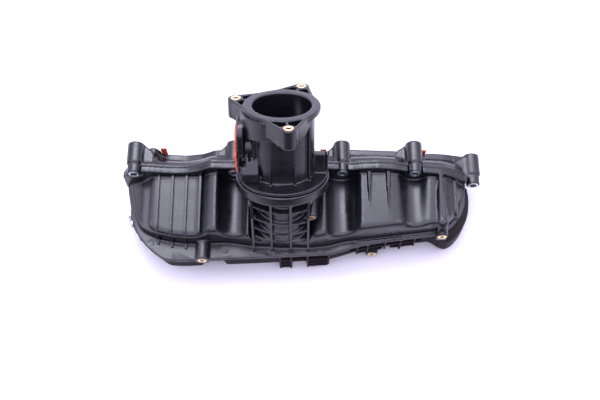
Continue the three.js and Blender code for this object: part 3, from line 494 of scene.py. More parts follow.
def loop_d(start, end, half, z_top):
    """Raised closed line round a long slot on the lip."""
    def distance(x, y, z):
        ex, ey = end[0] - start[0], end[1] - start[1]
        t = np.clip(((x - start[0]) * ex + (y - start[1]) * ey) / (ex * ex + ey * ey), 0, 1)
        flat = np.sqrt((x - start[0] - ex * t) ** 2 + (y - start[1] - ey * t) ** 2)
        return np.maximum(np.abs(flat - half) - 0.45, np.abs(z - z_top + 1) - 1)
    return distance


def insert_seat(x, z, front):
    """Blind hole for a brass insert in a boss of the body."""
    return rod_d("y", x, z, INSERT_SEAT_R, front - 4, front + INSERT_SEAT_DEPTH)


def rim_d(left, right, y0, y1, foot, profile=rim_top):
    def distance(x, y, z):
        d2 = (z - profile.at(x)) / profile.stretch(x)
        d2 = np.maximum(np.maximum(d2, foot - z), np.maximum(left - x, x - right))
        return rounded(d2, np.abs(y - (y0 + y1) / 2) - (y1 - y0) / 2, 0.7)
    return distance


def outline_d(z0, z1, inset=0.0, r=0.8):
    def distance(x, y, z):
        flat = polygon_d(OUTLINE_SOFT, x, y) + inset
        return rounded(flat, np.abs(z - (z0 + z1) / 2) - (z1 - z0) / 2, r)
    return distance


def runner_shell():
    field = Field((-186, -73, 33), (175, 24, 121), STEP)
    field.add(crown_d, k=0)
    for x, z, valley in UPPER_BOLTS:
        if valley:
            field.cut(rod_d("y", x, z, valley, -90, 30), k=5)
    field.add(outline_d(UPPER_Z, PLATE_TOP), (-186, -72, 33), (175, 24, 42), k=1.6)
    field.add(rim_d(-179, 171, RIM_FRONT, SPLIT_Y, 33), (-186, 12, 33), (175, 23, 84), k=1.2)
    field.add(duct_d(0), (-54, -62, 33), (20, 42, 120), k=3)
    s, c = math.sin(NECK_TILT), math.cos(NECK_TILT)

    def base_flange(x, y, z):
        along = (y - NECK_AT[1]) * s + (z - NECK_AT[2]) * c
        across = (y - NECK_AT[1]) * c - (z - NECK_AT[2]) * s
        across = np.where(across < 0, across * 0.91, across)
        d2 = np.sqrt((x - NECK_AT[0]) ** 2 + across ** 2) - 45.6
        return rounded(d2, np.abs(along + 4.6) - 4.6, 0.9)
    field.add(base_flange, (-66, -40, 58), (32, 46, 120), k=2)
    for y, z in SHELVES:
        field.add(shelf(y, z), (-47, y - 3, z - 5), (9, -16, z + 5), k=1.2)
    for x, y in TAPER_RIBS:
        field.add(taper_rib(x, y, 3.4), (x - 3, y - 9, 37), (x + 3, 17, 80), k=0.6)
    for x, z, y0, y1, r in BODY_INSERTS:
        if z < 20:
            continue
        y1 = min(y1, -30) if x > 100 else y1
        field.add(rod_d("y", x, z, r, y0, y1, 0.7), k=2)
        if z < 60:
            field.add(box_d(x - r + 0.6, x + r - 0.6, y0 + 0.3, y1, 33, z), k=1)
    column = [((142, -40, 46), 5.8), ((141.8, -33, 54), 5.8), ((141, 14, 65.5), 2.2)]
    for (start, r_start), (end, r_end) in zip(column[:-1], column[1:]):
        field.add(capsule_d(start, end, r_start, r_end), k=2)
    field.add(bead_d(159, -34, 2), (156, -40, 37), (162, 15, 66), k=1.2)
    field.add(loop_d((57, -46.6), (102, -41.8), 1.3, 40), (54, -49, 37), (105, -39, 41), k=0.4)
    for x, reach, _ in GRID_COLUMNS:
        front = outline_front(x) - reach
        field.add(box_d(x - 1, x + 1, front, front + 6, 33, 38.4, 0.4), k=0.8)
    field.add(box_d(8.5, 12.5, -34, -4, 50, 76), k=2)
    # round ejector marks on the lip
    for x in (-150, -75, -30, 20):
        y = float(front_wall.at(x)) - 8
        field.cut(rod_d("z", x, y, 3.2, 38.6, 42, 0.2), k=0.2)
    field.keep(lambda x, y, z: UPPER_Z - z)
    field.keep(lambda x, y, z: y - SPLIT_Y)
    for x, z, _ in UPPER_BOLTS:
        field.cut(rod_d("y", x, z, BOSS_R + 0.8, 10, 30), k=0.4)
        field.cut(rod_d("y", x, z, TOOL_WAY_R, -90, 13), k=0.6)
    for x, z, y0, _, _ in BODY_INSERTS:
        field.cut(insert_seat(x, z, y0), k=0.3)
    field.cut(duct_d(3), (-50, -60, 33), (16, 42, 120), k=0.6)
    for x in CYLINDERS:
        room = slot_d("y", x, 40, ROOM_WIDTH, 26, 8, -22, 30)
        hollow = lambda px, py, pz, room=room: np.maximum(room(px, py, pz), crown_d(px, py, pz) + 3.4)
        field.cut(hollow, (x - 25, -24, 33), (x + 25, 22, 54), k=1)
    points, quads = field.skin()
    return make_mesh("runner_shell_skin", points, quads)


# ------------------------------------------------------------------ lower shell
# combs under the lip: (x, reach in front of the outline, foot), then (height, left, right)
GRID_COLUMNS = [
    (58, 0.6, 16), (68.5, 0.8, 12), (86, 1.0, 12), (102, 1.0, 12), (116, 0.8, 16),
    (-20, 0.4, 4), (-9, 0.4, 4), (7.6, 0.4, 4), (29, 0.4, 8),
]
GRID_ROWS = [(22, -20, 29), (14, -20, 29), (6, -20, 29), (25, 50, 124), (17, 58, 116)]
END_BULGE = [
    (132, -34), (137, -38), (143, -42.5), (150, -44.5), (157, -40.5), (164.5, -32), (171, -20),
    (174, -10), (175.5, 4), (174, 20), (132, 20),
]


def end_bulge(x, y, z):
    """Swollen right end of the lower shell, under the lip."""
    flat = polygon_d(soft_chain(END_BULGE), x, y)
    return smax(flat, np.abs(z - 18) - 14.5, 7)


def plenum_shell():
    field = Field((-186, -73, -2), (175, 24, 37), STEP)

    def tub(x, y, z):
        flat = polygon_d(OUTLINE_SOFT, x, y) + 6
        flat = smax(flat, -150 - x, 8)
        return smax(flat, -z, 9)
    field.add(tub, k=0)
    for x in LOWER_BOLTS:
        valley = lambda px, py, pz, at=x: np.where(
            pz > LOWER_BOLT_Z, np.sqrt((px - at) ** 2 + (pz - LOWER_BOLT_Z) ** 2), np.abs(px - at)) - 10.5
        field.cut(valley, (x - 13, -72, -2), (x + 13, 22, 24), k=4)
    field.add(end_bulge, (130, -50, 2), (178, 24, 34), k=2.5)
    field.add(outline_d(31, WELD_Z, 1.0), (-186, -73, 29), (175, 24, 37), k=1.5)
    for x, reach, foot in GRID_COLUMNS:
        front = outline_front(x) - reach
        field.add(box_d(x - 1, x + 1, front, front + 12, foot, 36, 0.4), k=0.8)
    for level, left, right in GRID_ROWS:
        row = lambda px, py, pz, level=level, left=left, right=right: np.maximum(
            np.maximum(polygon_d(OUTLINE_SOFT, px, py) + 0.2, np.abs(pz - level) - 1),
            np.maximum(left - px, px - right))
        field.add(row, (left - 1, -70, level - 1), (right + 1, -38, level + 1), k=0.8)
    x, z, y0, y1, r = BODY_INSERTS[2]
    field.add(rod_d("y", x, z, r, y0, y1, 0.7), k=2)
    for y in ACTUATOR_SCREWS:
        field.add(rod_d("x", y, SCREW_Z, 5, -152, -141, 0.5), k=1)
        field.add(box_d(-151, -141, y - 2, y + 2, SCREW_Z, 33), k=1)
    field.keep(lambda x, y, z: z - WELD_Z)
    field.keep(lambda x, y, z: -z)
    field.keep(lambda x, y, z: y - SPLIT_Y)
    field.cut(insert_seat(x, z, y0), k=0.3)
    for bolt in LOWER_BOLTS:
        field.cut(rod_d("y", bolt, LOWER_BOLT_Z, TOOL_WAY_R, -90, 30), k=0.5)
    field.cut(rod_d("y", *UPPER_BOLTS[-1][:2], TOOL_WAY_R, -90, 30), k=0.5)
    for y in ACTUATOR_SCREWS:
        field.cut(rod_d("x", y, SCREW_Z, 2.3, -156, -143), k=0.2)
    for at in CYLINDERS:
        field.cut(slot_d("y", at, 28, ROOM_WIDTH, 28, 8, -22, 30), k=1)
    field.cut(rod_d("z", NECK_AT[0], -24, 25, 4, 50, 4), k=1)
    points, quads = field.skin()
    return make_mesh("plenum_shell_skin", points, quads)


# ------------------------------------------------------------------ head flange
GASKET_TABS = [(-8, 60.5), (8, 61), (-20, 58), (-5, 56)]
# webs beside the bolt bosses: outline seen from above, then bottom and top
GUSSETS = [
    ([(-166.5, 46.8), (-158, 46.5), (-150, 40), (-148, 36), (-148, 24), (-166, 24)], 56, 69),
    ([(-66, 46.8), (-72, 46), (-83, 36), (-85, 24), (-66, 24)], 58, 73),
    ([(42, 46.8), (36, 46), (28, 38), (27, 24), (42, 24)], 60, 72),
    ([(42, 46.8), (47, 45), (51, 36), (51, 24), (42, 24)], 60, 69),
    ([(115, 46.8), (107, 46), (99, 41), (96, 35), (99, 24), (115, 24)], 57, 68),
    ([(115, 46.8), (121, 44), (124, 34), (124, 24), (115, 24)], 57, 66),
    ([(178, 46.8), (170, 44), (160, 38), (160, 20), (178, 20)], 33, 47),
]


def head_flange_shell():
    field = Field((-186, 11.5, 0), (188, 49, 80), STEP)
    field.add(rim_d(-172, 168, FLANGE_Y, RIM_BACK, FOOT_Z, rim_low), (-186, 19, 0), (188, 27, 84), k=0)
    ear = [(-178.5, 42), (-170, 42), (-170, 65), (-174, 63.5), (-178.5, 56)]
    field.add(prism_d("y", ear, FLANGE_Y, RIM_BACK, 0.7), k=1)

    def slope(x, y, z):
        share = np.clip((y - RIM_BACK) / (PLATE_FRONT - RIM_BACK), 0, 1)
        top = (1 - share ** 2) * (rim_top.at(x) - 4) + share ** 2 * (head_edge.at(x) - 3)
        d2 = np.maximum((z - top) / (rim_top.stretch(x) * 1.25), FOOT_Z + 1 - z)
        d2 = np.maximum(d2, np.maximum(-170 - x, x - 166))
        return np.maximum(d2, np.maximum(RIM_BACK - 1 - y, y - 46))
    field.add(slope, (-172, 22, 0), (168, 48, 84), k=2)
    field.add(rim_d(-172, 168, PLATE_FRONT, HEAD_Y, FOOT_Z, head_edge), (-172, 38, 0), (168, 49, 64), k=1.5)
    for x, z, _ in UPPER_BOLTS:
        field.add(rod_d("y", x, z, BOSS_R, SLEEVE_FRONT + 0.5, HEAD_Y, 0.7), k=0.8)
        field.add(rod_d("y", x, z, BOSS_BACK_R, RIM_BACK - 0.6, HEAD_Y, 1), k=2)
    for x in LOWER_BOLTS:
        field.add(rod_d("y", x, LOWER_BOLT_Z, LOWER_BOSS_R, 19, HEAD_Y, 0.6), k=1.5)
    for plan, z0, z1 in GUSSETS:
        field.add(prism_d("z", plan, z0, z1, 1.4), k=2)
    foot = [(160, 25), (176, 34), (178, 40), (160, 44)]
    field.add(prism_d("y", foot, FLANGE_Y, HEAD_Y, 1), k=2)
    field.keep(lambda x, y, z: y - HEAD_Y)
    for index, x in enumerate(CYLINDERS):
        for dx in (-PORT_OFFSET, PORT_OFFSET):
            port = slot_d("y", x + dx, PORT_Z, 20, 22, 6, 26, 60)
            field.cut(port, k=0.8)
        top = float(min(rim_top.at(x - 22), rim_top.at(x + 22), rim_top.at(x))) - 14
        room = slot_d("y", x, (15 + top) / 2, ROOM_WIDTH, top - 15, 9, 10, FLANGE_Y + 10, 1.5)
        field.cut(room, k=1.5)
        seat = slot_d("y", x, PORT_Z, 54.6, 30.6, 9, HEAD_Y - 1.6, 60, 0.2)
        field.cut(seat, k=0.2)
        dx, tab = GASKET_TABS[index]
        slit = box_d(x + dx - 3.3, x + dx + 3.3, HEAD_Y - 1.6, 60, PORT_Z, tab + 0.3, 0.2)
        field.cut(slit, k=0.2)
    for x in LOWER_BOLTS:
        for side in (-1, 1):
            pocket = slot_d("y", x + side * 7.2, 40.5, 11.5, 11, 2.5, RIM_BACK + 3, 60, 1)
            field.cut(pocket, k=0.8)
            pocket = slot_d("y", x + side * 14, 14, 8, 12, 2.5, RIM_BACK + 3, 60, 1)
            field.cut(pocket, k=0.8)
    for x, z, _ in UPPER_BOLTS:
        field.cut(rod_d("y", x, z, SLEEVE_SEAT_R, 5, 60), k=0.4)
    for x in LOWER_BOLTS:
        field.cut(rod_d("y", x, LOWER_BOLT_Z, SLEEVE_SEAT_R, 5, 60), k=0.4)
    field.cut(rod_d("x", SHAFT_Y, PORT_Z, 3.4, -190, 161.3), k=0.3)
    field.cut(rod_d("x", SHAFT_Y, PORT_Z, 5.5, -190, -164.2), k=0.3)
    field.cut(rod_d("x", SHAFT_Y, PORT_Z, 5.5, 154, 161.5), k=0.3)
    points, quads = field.skin()
    return make_mesh("head_flange_skin", points, quads)


# ------------------------------------------------------------------ inlet neck
LUG_SPREAD = math.radians(43)
BRACKET_SIDE = [(-27.5, 4.4), (-14, 4.4), (-14, 28), (-20, 28), (-27, 13)]


def lug_outline(x, y, r):
    out = math.atan2(y, x)
    points = []
    for i in range(9):
        a = out - math.pi / 2 + 0.35 + (math.pi - 0.7) * i / 8
        points.append((x + r * math.cos(a), y + r * math.sin(a)))
    for side in (1, -1):
        a = out + side * LUG_SPREAD
        points.append((34.5 * math.cos(a), 34.5 * math.sin(a)))
    return points


def lug_pocket(x, y, side):
    """Open pocket beside the web of a lug, inside the lug's thin outer wall."""
    reach = math.hypot(x, y)
    root = (34.5 * math.cos(LUG_SPREAD), 34.5 * math.sin(LUG_SPREAD))
    slope = (7.4 - root[1]) / (reach - 1.5 - root[0])
    wall = 1.9 * math.sqrt(1 + slope * slope)

    def line(u):
        return root[1] + slope * (u - root[0]) - wall
    u = 30.0
    while math.hypot(u, line(u)) < 37.4:
        u += 0.1
    corners = [(37.4, 1.2), (reach - 7, 1.2), (reach - 4, line(reach - 4)), (u, line(u))]
    c, s = x / reach, y / reach
    return [(a * c - side * b * s, a * s + side * b * c) for a, b in corners]


def ring_wall(px, py, pz):
    """Recessed curved web under the ring, between the left and the front lug."""
    d = np.abs(np.sqrt(px * px + py * py) - 38.2) - 1
    first = math.radians(168)
    last = math.radians(262)
    d = np.maximum(d, px * math.sin(first) - py * math.cos(first))
    d = np.maximum(d, py * math.cos(last) - px * math.sin(last))
    low = 54.5 - 7.5 * np.clip(-px / 38, 0, 1)
    return np.maximum(d, np.maximum(low - pz, pz - 69.5))


def inlet_neck():
    step = STEP * 0.85
    field = Field((-60, -60, -1), (46, 62, 75), step)
    field.add(rod_d("z", 0, 0, 31, -5, 72), k=0)

    def base_disc(px, py, pz):
        oval = np.where(py < 0, py * 0.91, py)
        return rounded(np.sqrt(px * px + oval * oval) - 44.2, np.abs(pz - 2) - 1.7, 0.7)
    field.add(base_disc, (-48, -52, -1), (48, 48, 5), k=2.5)
    for x, y in LUGS:
        outline = lug_outline(x, y, LUG_R)

        def lug(px, py, pz, outline=outline, x=x, y=y):
            flat = polygon_d(outline, px, py)
            reach = math.hypot(x, y)
            outward = (px * x + py * y) / reach
            # the skirt under the lug sweeps up from the boss to the tube
            low = 54.2 + 6 * np.clip((reach - 2 - outward) / (reach - 30), 0, 1) ** 2
            return rounded(flat, np.maximum(low - pz, pz - NECK_LENGTH), 0.8)
        field.add(lug, (min(x - 9, -30), min(y - 9, -30), 52), (max(x + 9, 30), max(y + 9, 30), 75), k=1.5)
        field.add(rod_d("z", x, y, LUG_R, 54.2, NECK_LENGTH, 0.8), k=1)
    field.add(rod_d("z", 0, 0, 36.5, 67.8, NECK_LENGTH, 0.5), k=2)
    field.add(ring_wall, (-41, -41, 46), (2, 12, 71), k=0.8)
    for degrees in (-52, -19, 22, 51):
        a = math.radians(degrees)
        ca, sa = math.cos(a), math.sin(a)

        def rib(px, py, pz, ca=ca, sa=sa):
            u = px * ca + py * sa
            v = -px * sa + py * ca
            d = np.maximum(np.abs(u) - 0.95, np.maximum(-34 - v, v + 29))
            return np.maximum(d, np.maximum(3 - pz, pz - 61))
        field.add(rib, (-36, -36, 3), (36, 0, 62), k=1.2)
    field.add(slot_d("x", -1, EGR_T, 44, 61, 14, EGR_X, EGR_X + 6, 1), k=2)
    field.add(rod_d("x", 0, EGR_T, 16, EGR_X + 1, -20), k=2.5)
    field.add(box_d(EGR_X + 2, -22, -2, 2, 3.8, EGR_T + 26), k=1.5)
    field.add(prism_d("x", BRACKET_SIDE, EGR_X + 3.4, -22, 0.6), k=0.8)
    field.cut(box_d(-40, -34.5, -30, -10, 19, 30, 0.5), k=0.4)
    slit = [(-32, 31), (-10, 31), (-10, 24), (-32, 24)]
    field.cut(prism_d("x", slit, -31.4, -29.6, 0.2), k=0.4)
    field.add(box_d(EGR_X + 1, -20, -25, -6, 4.4, 9, 0.7), k=1)
    field.add(box_d(30.5, 44, -6, 2, 3.8, 24, 0.9), k=1)
    field.cut(box_d(41.2, 42.2, -9, 1, 6, 30, 0.2), k=0.3)
    field.add(box_d(24, 34, -2, 2, 3.8, 20, 0.7), k=1.5)
    field.keep(lambda x, y, z: z - NECK_LENGTH)
    field.keep(lambda x, y, z: 0.3 - z)
    field.cut(rod_d("z", 0, 0, BORE_R, -9, 90), k=1.2)
    field.cut(rod_d("x", 0, EGR_T, 13, -60, -10), k=0.8)
    for x, y in LUGS:
        for side in (-1, 1):
            field.cut(prism_d("z", lug_pocket(x, y, side), 59, 90, 0.3), k=0.5)
        field.add(rod_d("z", x, y, 7.1, 57, NECK_LENGTH, 0.5), k=0.4)
        field.cut(rod_d("z", x, y, 5.3, 59, 90), k=0.3)
    for y, t in EGR_INSERTS:
        field.cut(rod_d("x", y, t, 3.8, -60, EGR_X + 7), k=0.3)
    points, quads = field.skin()
    s, c = math.sin(NECK_TILT), math.cos(NECK_TILT)
    x, y, t = points[:, 0], points[:, 1], points[:, 2]
    turned = np.stack([NECK_AT[0] + x, NECK_AT[1] + y * c + t * s, NECK_AT[2] - y * s + t * c], 1)
    return make_mesh("inlet_neck_skin", turned, quads)


# ------------------------------------------------------------------ turned metal pieces
def turned_piece(name, profile, base, axis, segments=56):
    """Ring turned from (radius, distance along the axis) pairs, closed on itself."""
    axis = Vector(axis).normalized()
    side = axis.orthogonal().normalized()
    up = axis.cross(side)
    count = len(profile)
    points = []
    for i in range(segments):
        a = 2 * math.pi * i / segments
        ray = side * math.cos(a) + up * math.sin(a)
        for r, w in profile:
            points.append(Vector(base) + ray * r + axis * w)
    quads = []
    for i in range(segments):
        j = (i + 1) % segments
        for k in range(count):
            m = (k + 1) % count
            quads.append((i * count + k, i * count + m, j * count + m, j * count + k))
    piece = make_mesh(name, np.array([tuple(p) for p in points]), np.array(quads))
    crisp = piece.modifiers.new("edges", "EDGE_SPLIT")
    crisp.split_angle = math.radians(35)
    return piece


def tube_profile(inner, outer, length, chamfer=0.4):
    return [
        (inner, chamfer), (inner + chamfer, 0), (outer - chamfer, 0), (outer, chamfer),
        (outer, length - chamfer), (outer - chamfer, length), (inner + chamfer, length),
        (inner, length - chamfer),
    ]


def insert_profile(inner, outer, length):
    """Brass insert with a collar and two grooves."""
    return [
        (inner, 0.6), (inner + 0.6, 0), (outer - 0.3, 0), (outer, 0.3), (outer, 1.6),
        (outer - 0.5, 1.9), (outer - 0.5, length * 0.45), (outer - 0.15, length * 0.5),
        (outer - 0.15, length * 0.8), (outer - 0.5, length * 0.85), (outer - 0.5, length),
        (inner, length),
    ]


# ------------------------------------------------------------------ materials
def new_material(name):
    material = bpy.data.materials.new(name)
    material.use_nodes = True
    tree = material.node_tree
    return material, tree.nodes, tree.links, tree.nodes["Principled BSDF"]


def plastic(name, colour, rough, grain=0.5, gloss=0.55):
    """Moulded glass-filled plastic: fine grain, flow marks, rub marks on the edges."""
    material, nodes, links, shader = new_material(name)
    shader.inputs["Specular IOR Level"].default_value = gloss
    place = nodes.new("ShaderNodeTexCoord")
    fine = nodes.new("ShaderNodeTexNoise")
    fine.inputs["Scale"].default_value = 900
    fine.inputs["Detail"].default_value = 5
    links.new(place.outputs["Object"], fine.inputs["Vector"])
    broad = nodes.new("ShaderNodeTexNoise")
    broad.inputs["Scale"].default_value = 22
    broad.inputs["Detail"].default_value = 6
    broad.inputs["Roughness"].default_value = 0.62
    links.new(place.outputs["Object"], broad.inputs["Vector"])
    flow = nodes.new("ShaderNodeMapping")
    flow.inputs["Scale"].default_value = (18, 240, 240)
    links.new(place.outputs["Object"], flow.inputs["Vector"])
    streaks = nodes.new("ShaderNodeTexNoise")
    streaks.inputs["Scale"].default_value = 1
    streaks.inputs["Detail"].default_value = 3
    links.new(flow.outputs["Vector"], streaks.inputs["Vector"])
    mixed = nodes.new("ShaderNodeMath")
    mixed.operation = "MULTIPLY_ADD"
    links.new(streaks.outputs["Fac"], mixed.inputs[0])
    mixed.inputs[1].default_value = 0.35
    links.new(broad.outputs["Fac"], mixed.inputs[2])
    spread = nodes.new("ShaderNodeMapRange")
    spread.inputs["From Min"].default_value = 0.4
    spread.inputs["From Max"].default_value = 0.95
    spread.inputs["To Min"].default_value = rough - 0.1
    spread.inputs["To Max"].default_value = rough + 0.14
    links.new(mixed.outputs[0], spread.inputs["Value"])
    links.new(spread.outputs["Result"], shader.inputs["Roughness"])
    geometry = nodes.new("ShaderNodeNewGeometry")
    edge = nodes.new("ShaderNodeMapRange")
    edge.inputs["From Min"].default_value = 0.52
    edge.inputs["From Max"].default_value = 0.62
    edge.inputs["To Max"].default_value = 0.55
    links.new(geometry.outputs["Pointiness"], edge.inputs["Value"])
    tint = nodes.new("ShaderNodeMix")
    tint.data_type = "RGBA"
    tint.inputs["A"].default_value = (*colour, 1)
    tint.inputs["B"].default_value = (*[min(1, c * 3 + 0.006) for c in colour], 1)
    links.new(edge.outputs["Result"], tint.inputs["Factor"])
    links.new(tint.outputs["Result"], shader.inputs["Base Color"])
    bump = nodes.new("ShaderNodeBump")
    bump.inputs["Strength"].default_value = grain
    bump.inputs["Distance"].default_value = 0.00012
    links.new(fine.outputs["Fac"], bump.inputs["Height"])
    soft = nodes.new("ShaderNodeBump")
    soft.inputs["Strength"].default_value = 0.35
    soft.inputs["Distance"].default_value = 0.0006
    links.new(broad.outputs["Fac"], soft.inputs["Height"])
    links.new(bump.outputs["Normal"], soft.inputs["Normal"])
    links.new(soft.outputs["Normal"], shader.inputs["Normal"])
    return material


def silicone(name, colour):
    material, nodes, links, shader = new_material(name)
    shader.inputs["Subsurface Weight"].default_value = 0.15
    shader.inputs["Subsurface Radius"].default_value = (0.002, 0.0006, 0.0003)
    place = nodes.new("ShaderNodeTexCoord")
    noise = nodes.new("ShaderNodeTexNoise")
    noise.inputs["Scale"].default_value = 260
    noise.inputs["Detail"].default_value = 4
    links.new(place.outputs["Object"], noise.inputs["Vector"])
    ramp = nodes.new("ShaderNodeMix")
    ramp.data_type = "RGBA"
    ramp.inputs["A"].default_value = (*colour, 1)
    ramp.inputs["B"].default_value = (colour[0] * 0.7, colour[1] * 0.6, colour[2] * 0.6, 1)
    links.new(noise.outputs["Fac"], ramp.inputs["Factor"])
    links.new(ramp.outputs["Result"], shader.inputs["Base Color"])
    spread = nodes.new("ShaderNodeMapRange")
    spread.inputs["To Min"].default_value = 0.38
    spread.inputs["To Max"].default_value = 0.62
    links.new(noise.outputs["Fac"], spread.inputs["Value"])
    links.new(spread.outputs["Result"], shader.inputs["Roughness"])
    bump = nodes.new("ShaderNodeBump")
    bump.inputs["Strength"].default_value = 0.3
    bump.inputs["Distance"].default_value = 0.0001
    links.new(noise.outputs["Fac"], bump.inputs["Height"])
    links.new(bump.outputs["Normal"], shader.inputs["Normal"])
    return material


def metal(name, colour, dark, rough):
    """Turned or plated metal: fine rings and stains."""
    material, nodes, links, shader = new_material(name)
    shader.inputs["Metallic"].default_value = 1.0
    place = nodes.new("ShaderNodeTexCoord")
    stains = nodes.new("ShaderNodeTexNoise")
    stains.inputs["Scale"].default_value = 320
    stains.inputs["Detail"].default_value = 6
    links.new(place.outputs["Object"], stains.inputs["Vector"])
    tint = nodes.new("ShaderNodeMix")
    tint.data_type = "RGBA"
    tint.inputs["A"].default_value = (*colour, 1)
    tint.inputs["B"].default_value = (*dark, 1)
    links.new(stains.outputs["Fac"], tint.inputs["Factor"])
    links.new(tint.outputs["Result"], shader.inputs["Base Color"])
    spread = nodes.new("ShaderNodeMapRange")
    spread.inputs["To Min"].default_value = rough - 0.08
    spread.inputs["To Max"].default_value = rough + 0.16
    links.new(stains.outputs["Fac"], spread.inputs["Value"])
    links.new(spread.outputs["Result"], shader.inputs["Roughness"])
    rings = nodes.new("ShaderNodeTexNoise")
    rings.inputs["Scale"].default_value = 2600
    rings.inputs["Detail"].default_value = 2
    links.new(place.outputs["Object"], rings.inputs["Vector"])
    bump = nodes.new("ShaderNodeBump")
    bump.inputs["Strength"].default_value = 0.35
    bump.inputs["Distance"].default_value = 0.00005
    links.new(rings.outputs["Fac"], bump.inputs["Height"])
    links.new(bump.outputs["Normal"], shader.inputs["Normal"])
    return material


BLACK = plastic("black_nylon", (0.0032, 0.003, 0.0048), 0.27)
# The plenum shell is the same black nylon as the runner shell. This copy is duller and has a warmer,
# slightly darker tone, as painted shade for the shell lying in shadow under the lip.
BLACK_PAINTED_SHADE = plastic("black_nylon_painted_shade", (0.004, 0.0026, 0.0036), 0.6, gloss=0.2)
BLACK_FLAP = plastic("flap_plastic", (0.018, 0.018, 0.02), 0.5)
BLACK_ACTUATOR = plastic("actuator_plastic", (0.014, 0.014, 0.016), 0.5, 0.8)
ORANGE = silicone("orange_silicone", (0.56, 0.095, 0.04))
STEEL = metal("zinc_steel", (0.68, 0.70, 0.73), (0.42, 0.44, 0.47), 0.3)
BRASS = metal("brass", (0.92, 0.76, 0.52), (0.74, 0.55, 0.30), 0.3)


def dress(piece, material):
    piece.data.materials.clear()
    piece.data.materials.append(material)


# ------------------------------------------------------------------ pieces
SHELLS = [
    ("runner_shell", runner_shell, 0.45),
    ("plenum_shell", plenum_shell, 0.45),
    ("head_flange_shell", head_flange_shell, 0.45),
    ("inlet_neck", inlet_neck, 0.6),
]
for node, build, ratio in SHELLS:
    shell = build()
    thin_out(shell, ratio)
    # The plenum shell takes the painted-shade copy of the black nylon; the other shells take the plain one.
    dress(shell, BLACK_PAINTED_SHADE if node == "plenum_shell" else BLACK)
    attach(shell, "manifold")
    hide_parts(node)


def blade(name, outline, x, half, node):
    """Crisp moulded rib: a side view in (y, z) given thickness along x, with rounded edges."""
    count = len(outline)
    points = [((x + side * half, y, z) - ORIGIN) * MM for side in (-1, 1) for y, z in outline]
    faces = [list(range(count)), list(range(2 * count - 1, count - 1, -1))]
    for i in range(count):
        j = (i + 1) % count
        faces.append([i, count + i, count + j, j])
    mesh = bpy.data.meshes.new(name)
    mesh.from_pydata(points, [], faces)
    mesh.validate()
    piece = bpy.data.objects.new(name, mesh)
    bpy.context.scene.collection.objects.link(piece)
    bevel = piece.modifiers.new("rounded_edges", "BEVEL")
    bevel.width = 0.4 * MM
    bevel.segments = 3
    bevel.limit_method = "ANGLE"
    bevel.angle_limit = math.radians(40)
    dress(piece, BLACK)
    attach(piece, "manifold")
    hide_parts(node)


for index, x in enumerate(TOP_RIBS):
    blade(f"crown_rib_{index + 1}", top_rib_outline(x, 3.8), x, 1.3, "runner_shell")
for index, x in enumerate(DUCT_RIBS):
    blade(f"duct_rib_{index + 1}", duct_rib_outline(x), x, 1.2, "runner_shell")


def add_ring(node, profile, base, axis, material, body="manifold"):
    piece = turned_piece(node + "_turned", profile, base, axis)
    dress(piece, material)
    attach(piece, body)
    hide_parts(node)


NECK_AXIS = (0, math.sin(NECK_TILT), math.cos(NECK_TILT))
DOWN_NECK = [-v for v in NECK_AXIS]
UPPER_SLEEVE = tube_profile(SLEEVE_BORE_R, SLEEVE_R, 33.8)
LOWER_SLEEVE = tube_profile(SLEEVE_BORE_R, SLEEVE_R, 28.2)
INLET_INSERT = insert_profile(2.4, 5.0, 13.9)
EGR_INSERT = insert_profile(1.9, 3.5, 6)
BODY_INSERT = insert_profile(2.2, 4.6, 11.4)
SHAFT_BUSH = tube_profile(3.3, 5.2, 7, 0.3)
for index, (x, z, _) in enumerate(UPPER_BOLTS):
    place = (x, SLEEVE_FRONT, z)
    add_ring(f"upper_sleeve_{index + 1}", UPPER_SLEEVE, place, (0, 1, 0), STEEL)
for index, x in enumerate(LOWER_BOLTS):
    place = (x, SLEEVE_FRONT_LOW, LOWER_BOLT_Z)
    add_ring(f"lower_sleeve_{index + 1}", LOWER_SLEEVE, place, (0, 1, 0), STEEL)
for index, (x, y) in enumerate(LUGS):
    place = neck_point(x, y, NECK_LENGTH + 0.4)
    add_ring(f"inlet_insert_{index + 1}", INLET_INSERT, place, DOWN_NECK, BRASS)
for index, (y, t) in enumerate(EGR_INSERTS):
    place = neck_point(EGR_X - 0.2, y, t)
    add_ring(f"egr_insert_{index + 1}", EGR_INSERT, place, (1, 0, 0), BRASS)
for index, (x, z, y0, _, _) in enumerate(BODY_INSERTS):
    place = (x, y0 - 0.4, z)
    add_ring(f"body_insert_{index + 1}", BODY_INSERT, place, (0, 1, 0), BRASS)
for index, x in enumerate((-171.5, 154.5)):
    place = (x, SHAFT_Y, PORT_Z)
    add_ring(f"shaft_bush_{index + 1}", SHAFT_BUSH, place, (1, 0, 0), BRASS)


def soften(node, voxel, material, slot):
    """A CAD node shown with its edges rounded over."""
    piece = NODES[node]
    remesh = piece.modifiers.new("grain", "REMESH")
    remesh.mode = "VOXEL"
    remesh.voxel_size = voxel * MM
    remesh.use_smooth_shade = True
    smooth = piece.modifiers.new("round_over", "SMOOTH")
    smooth.factor = 0.5
    smooth.iterations = 3
    piece.data.materials.clear()
    piece.data.materials.append(material)


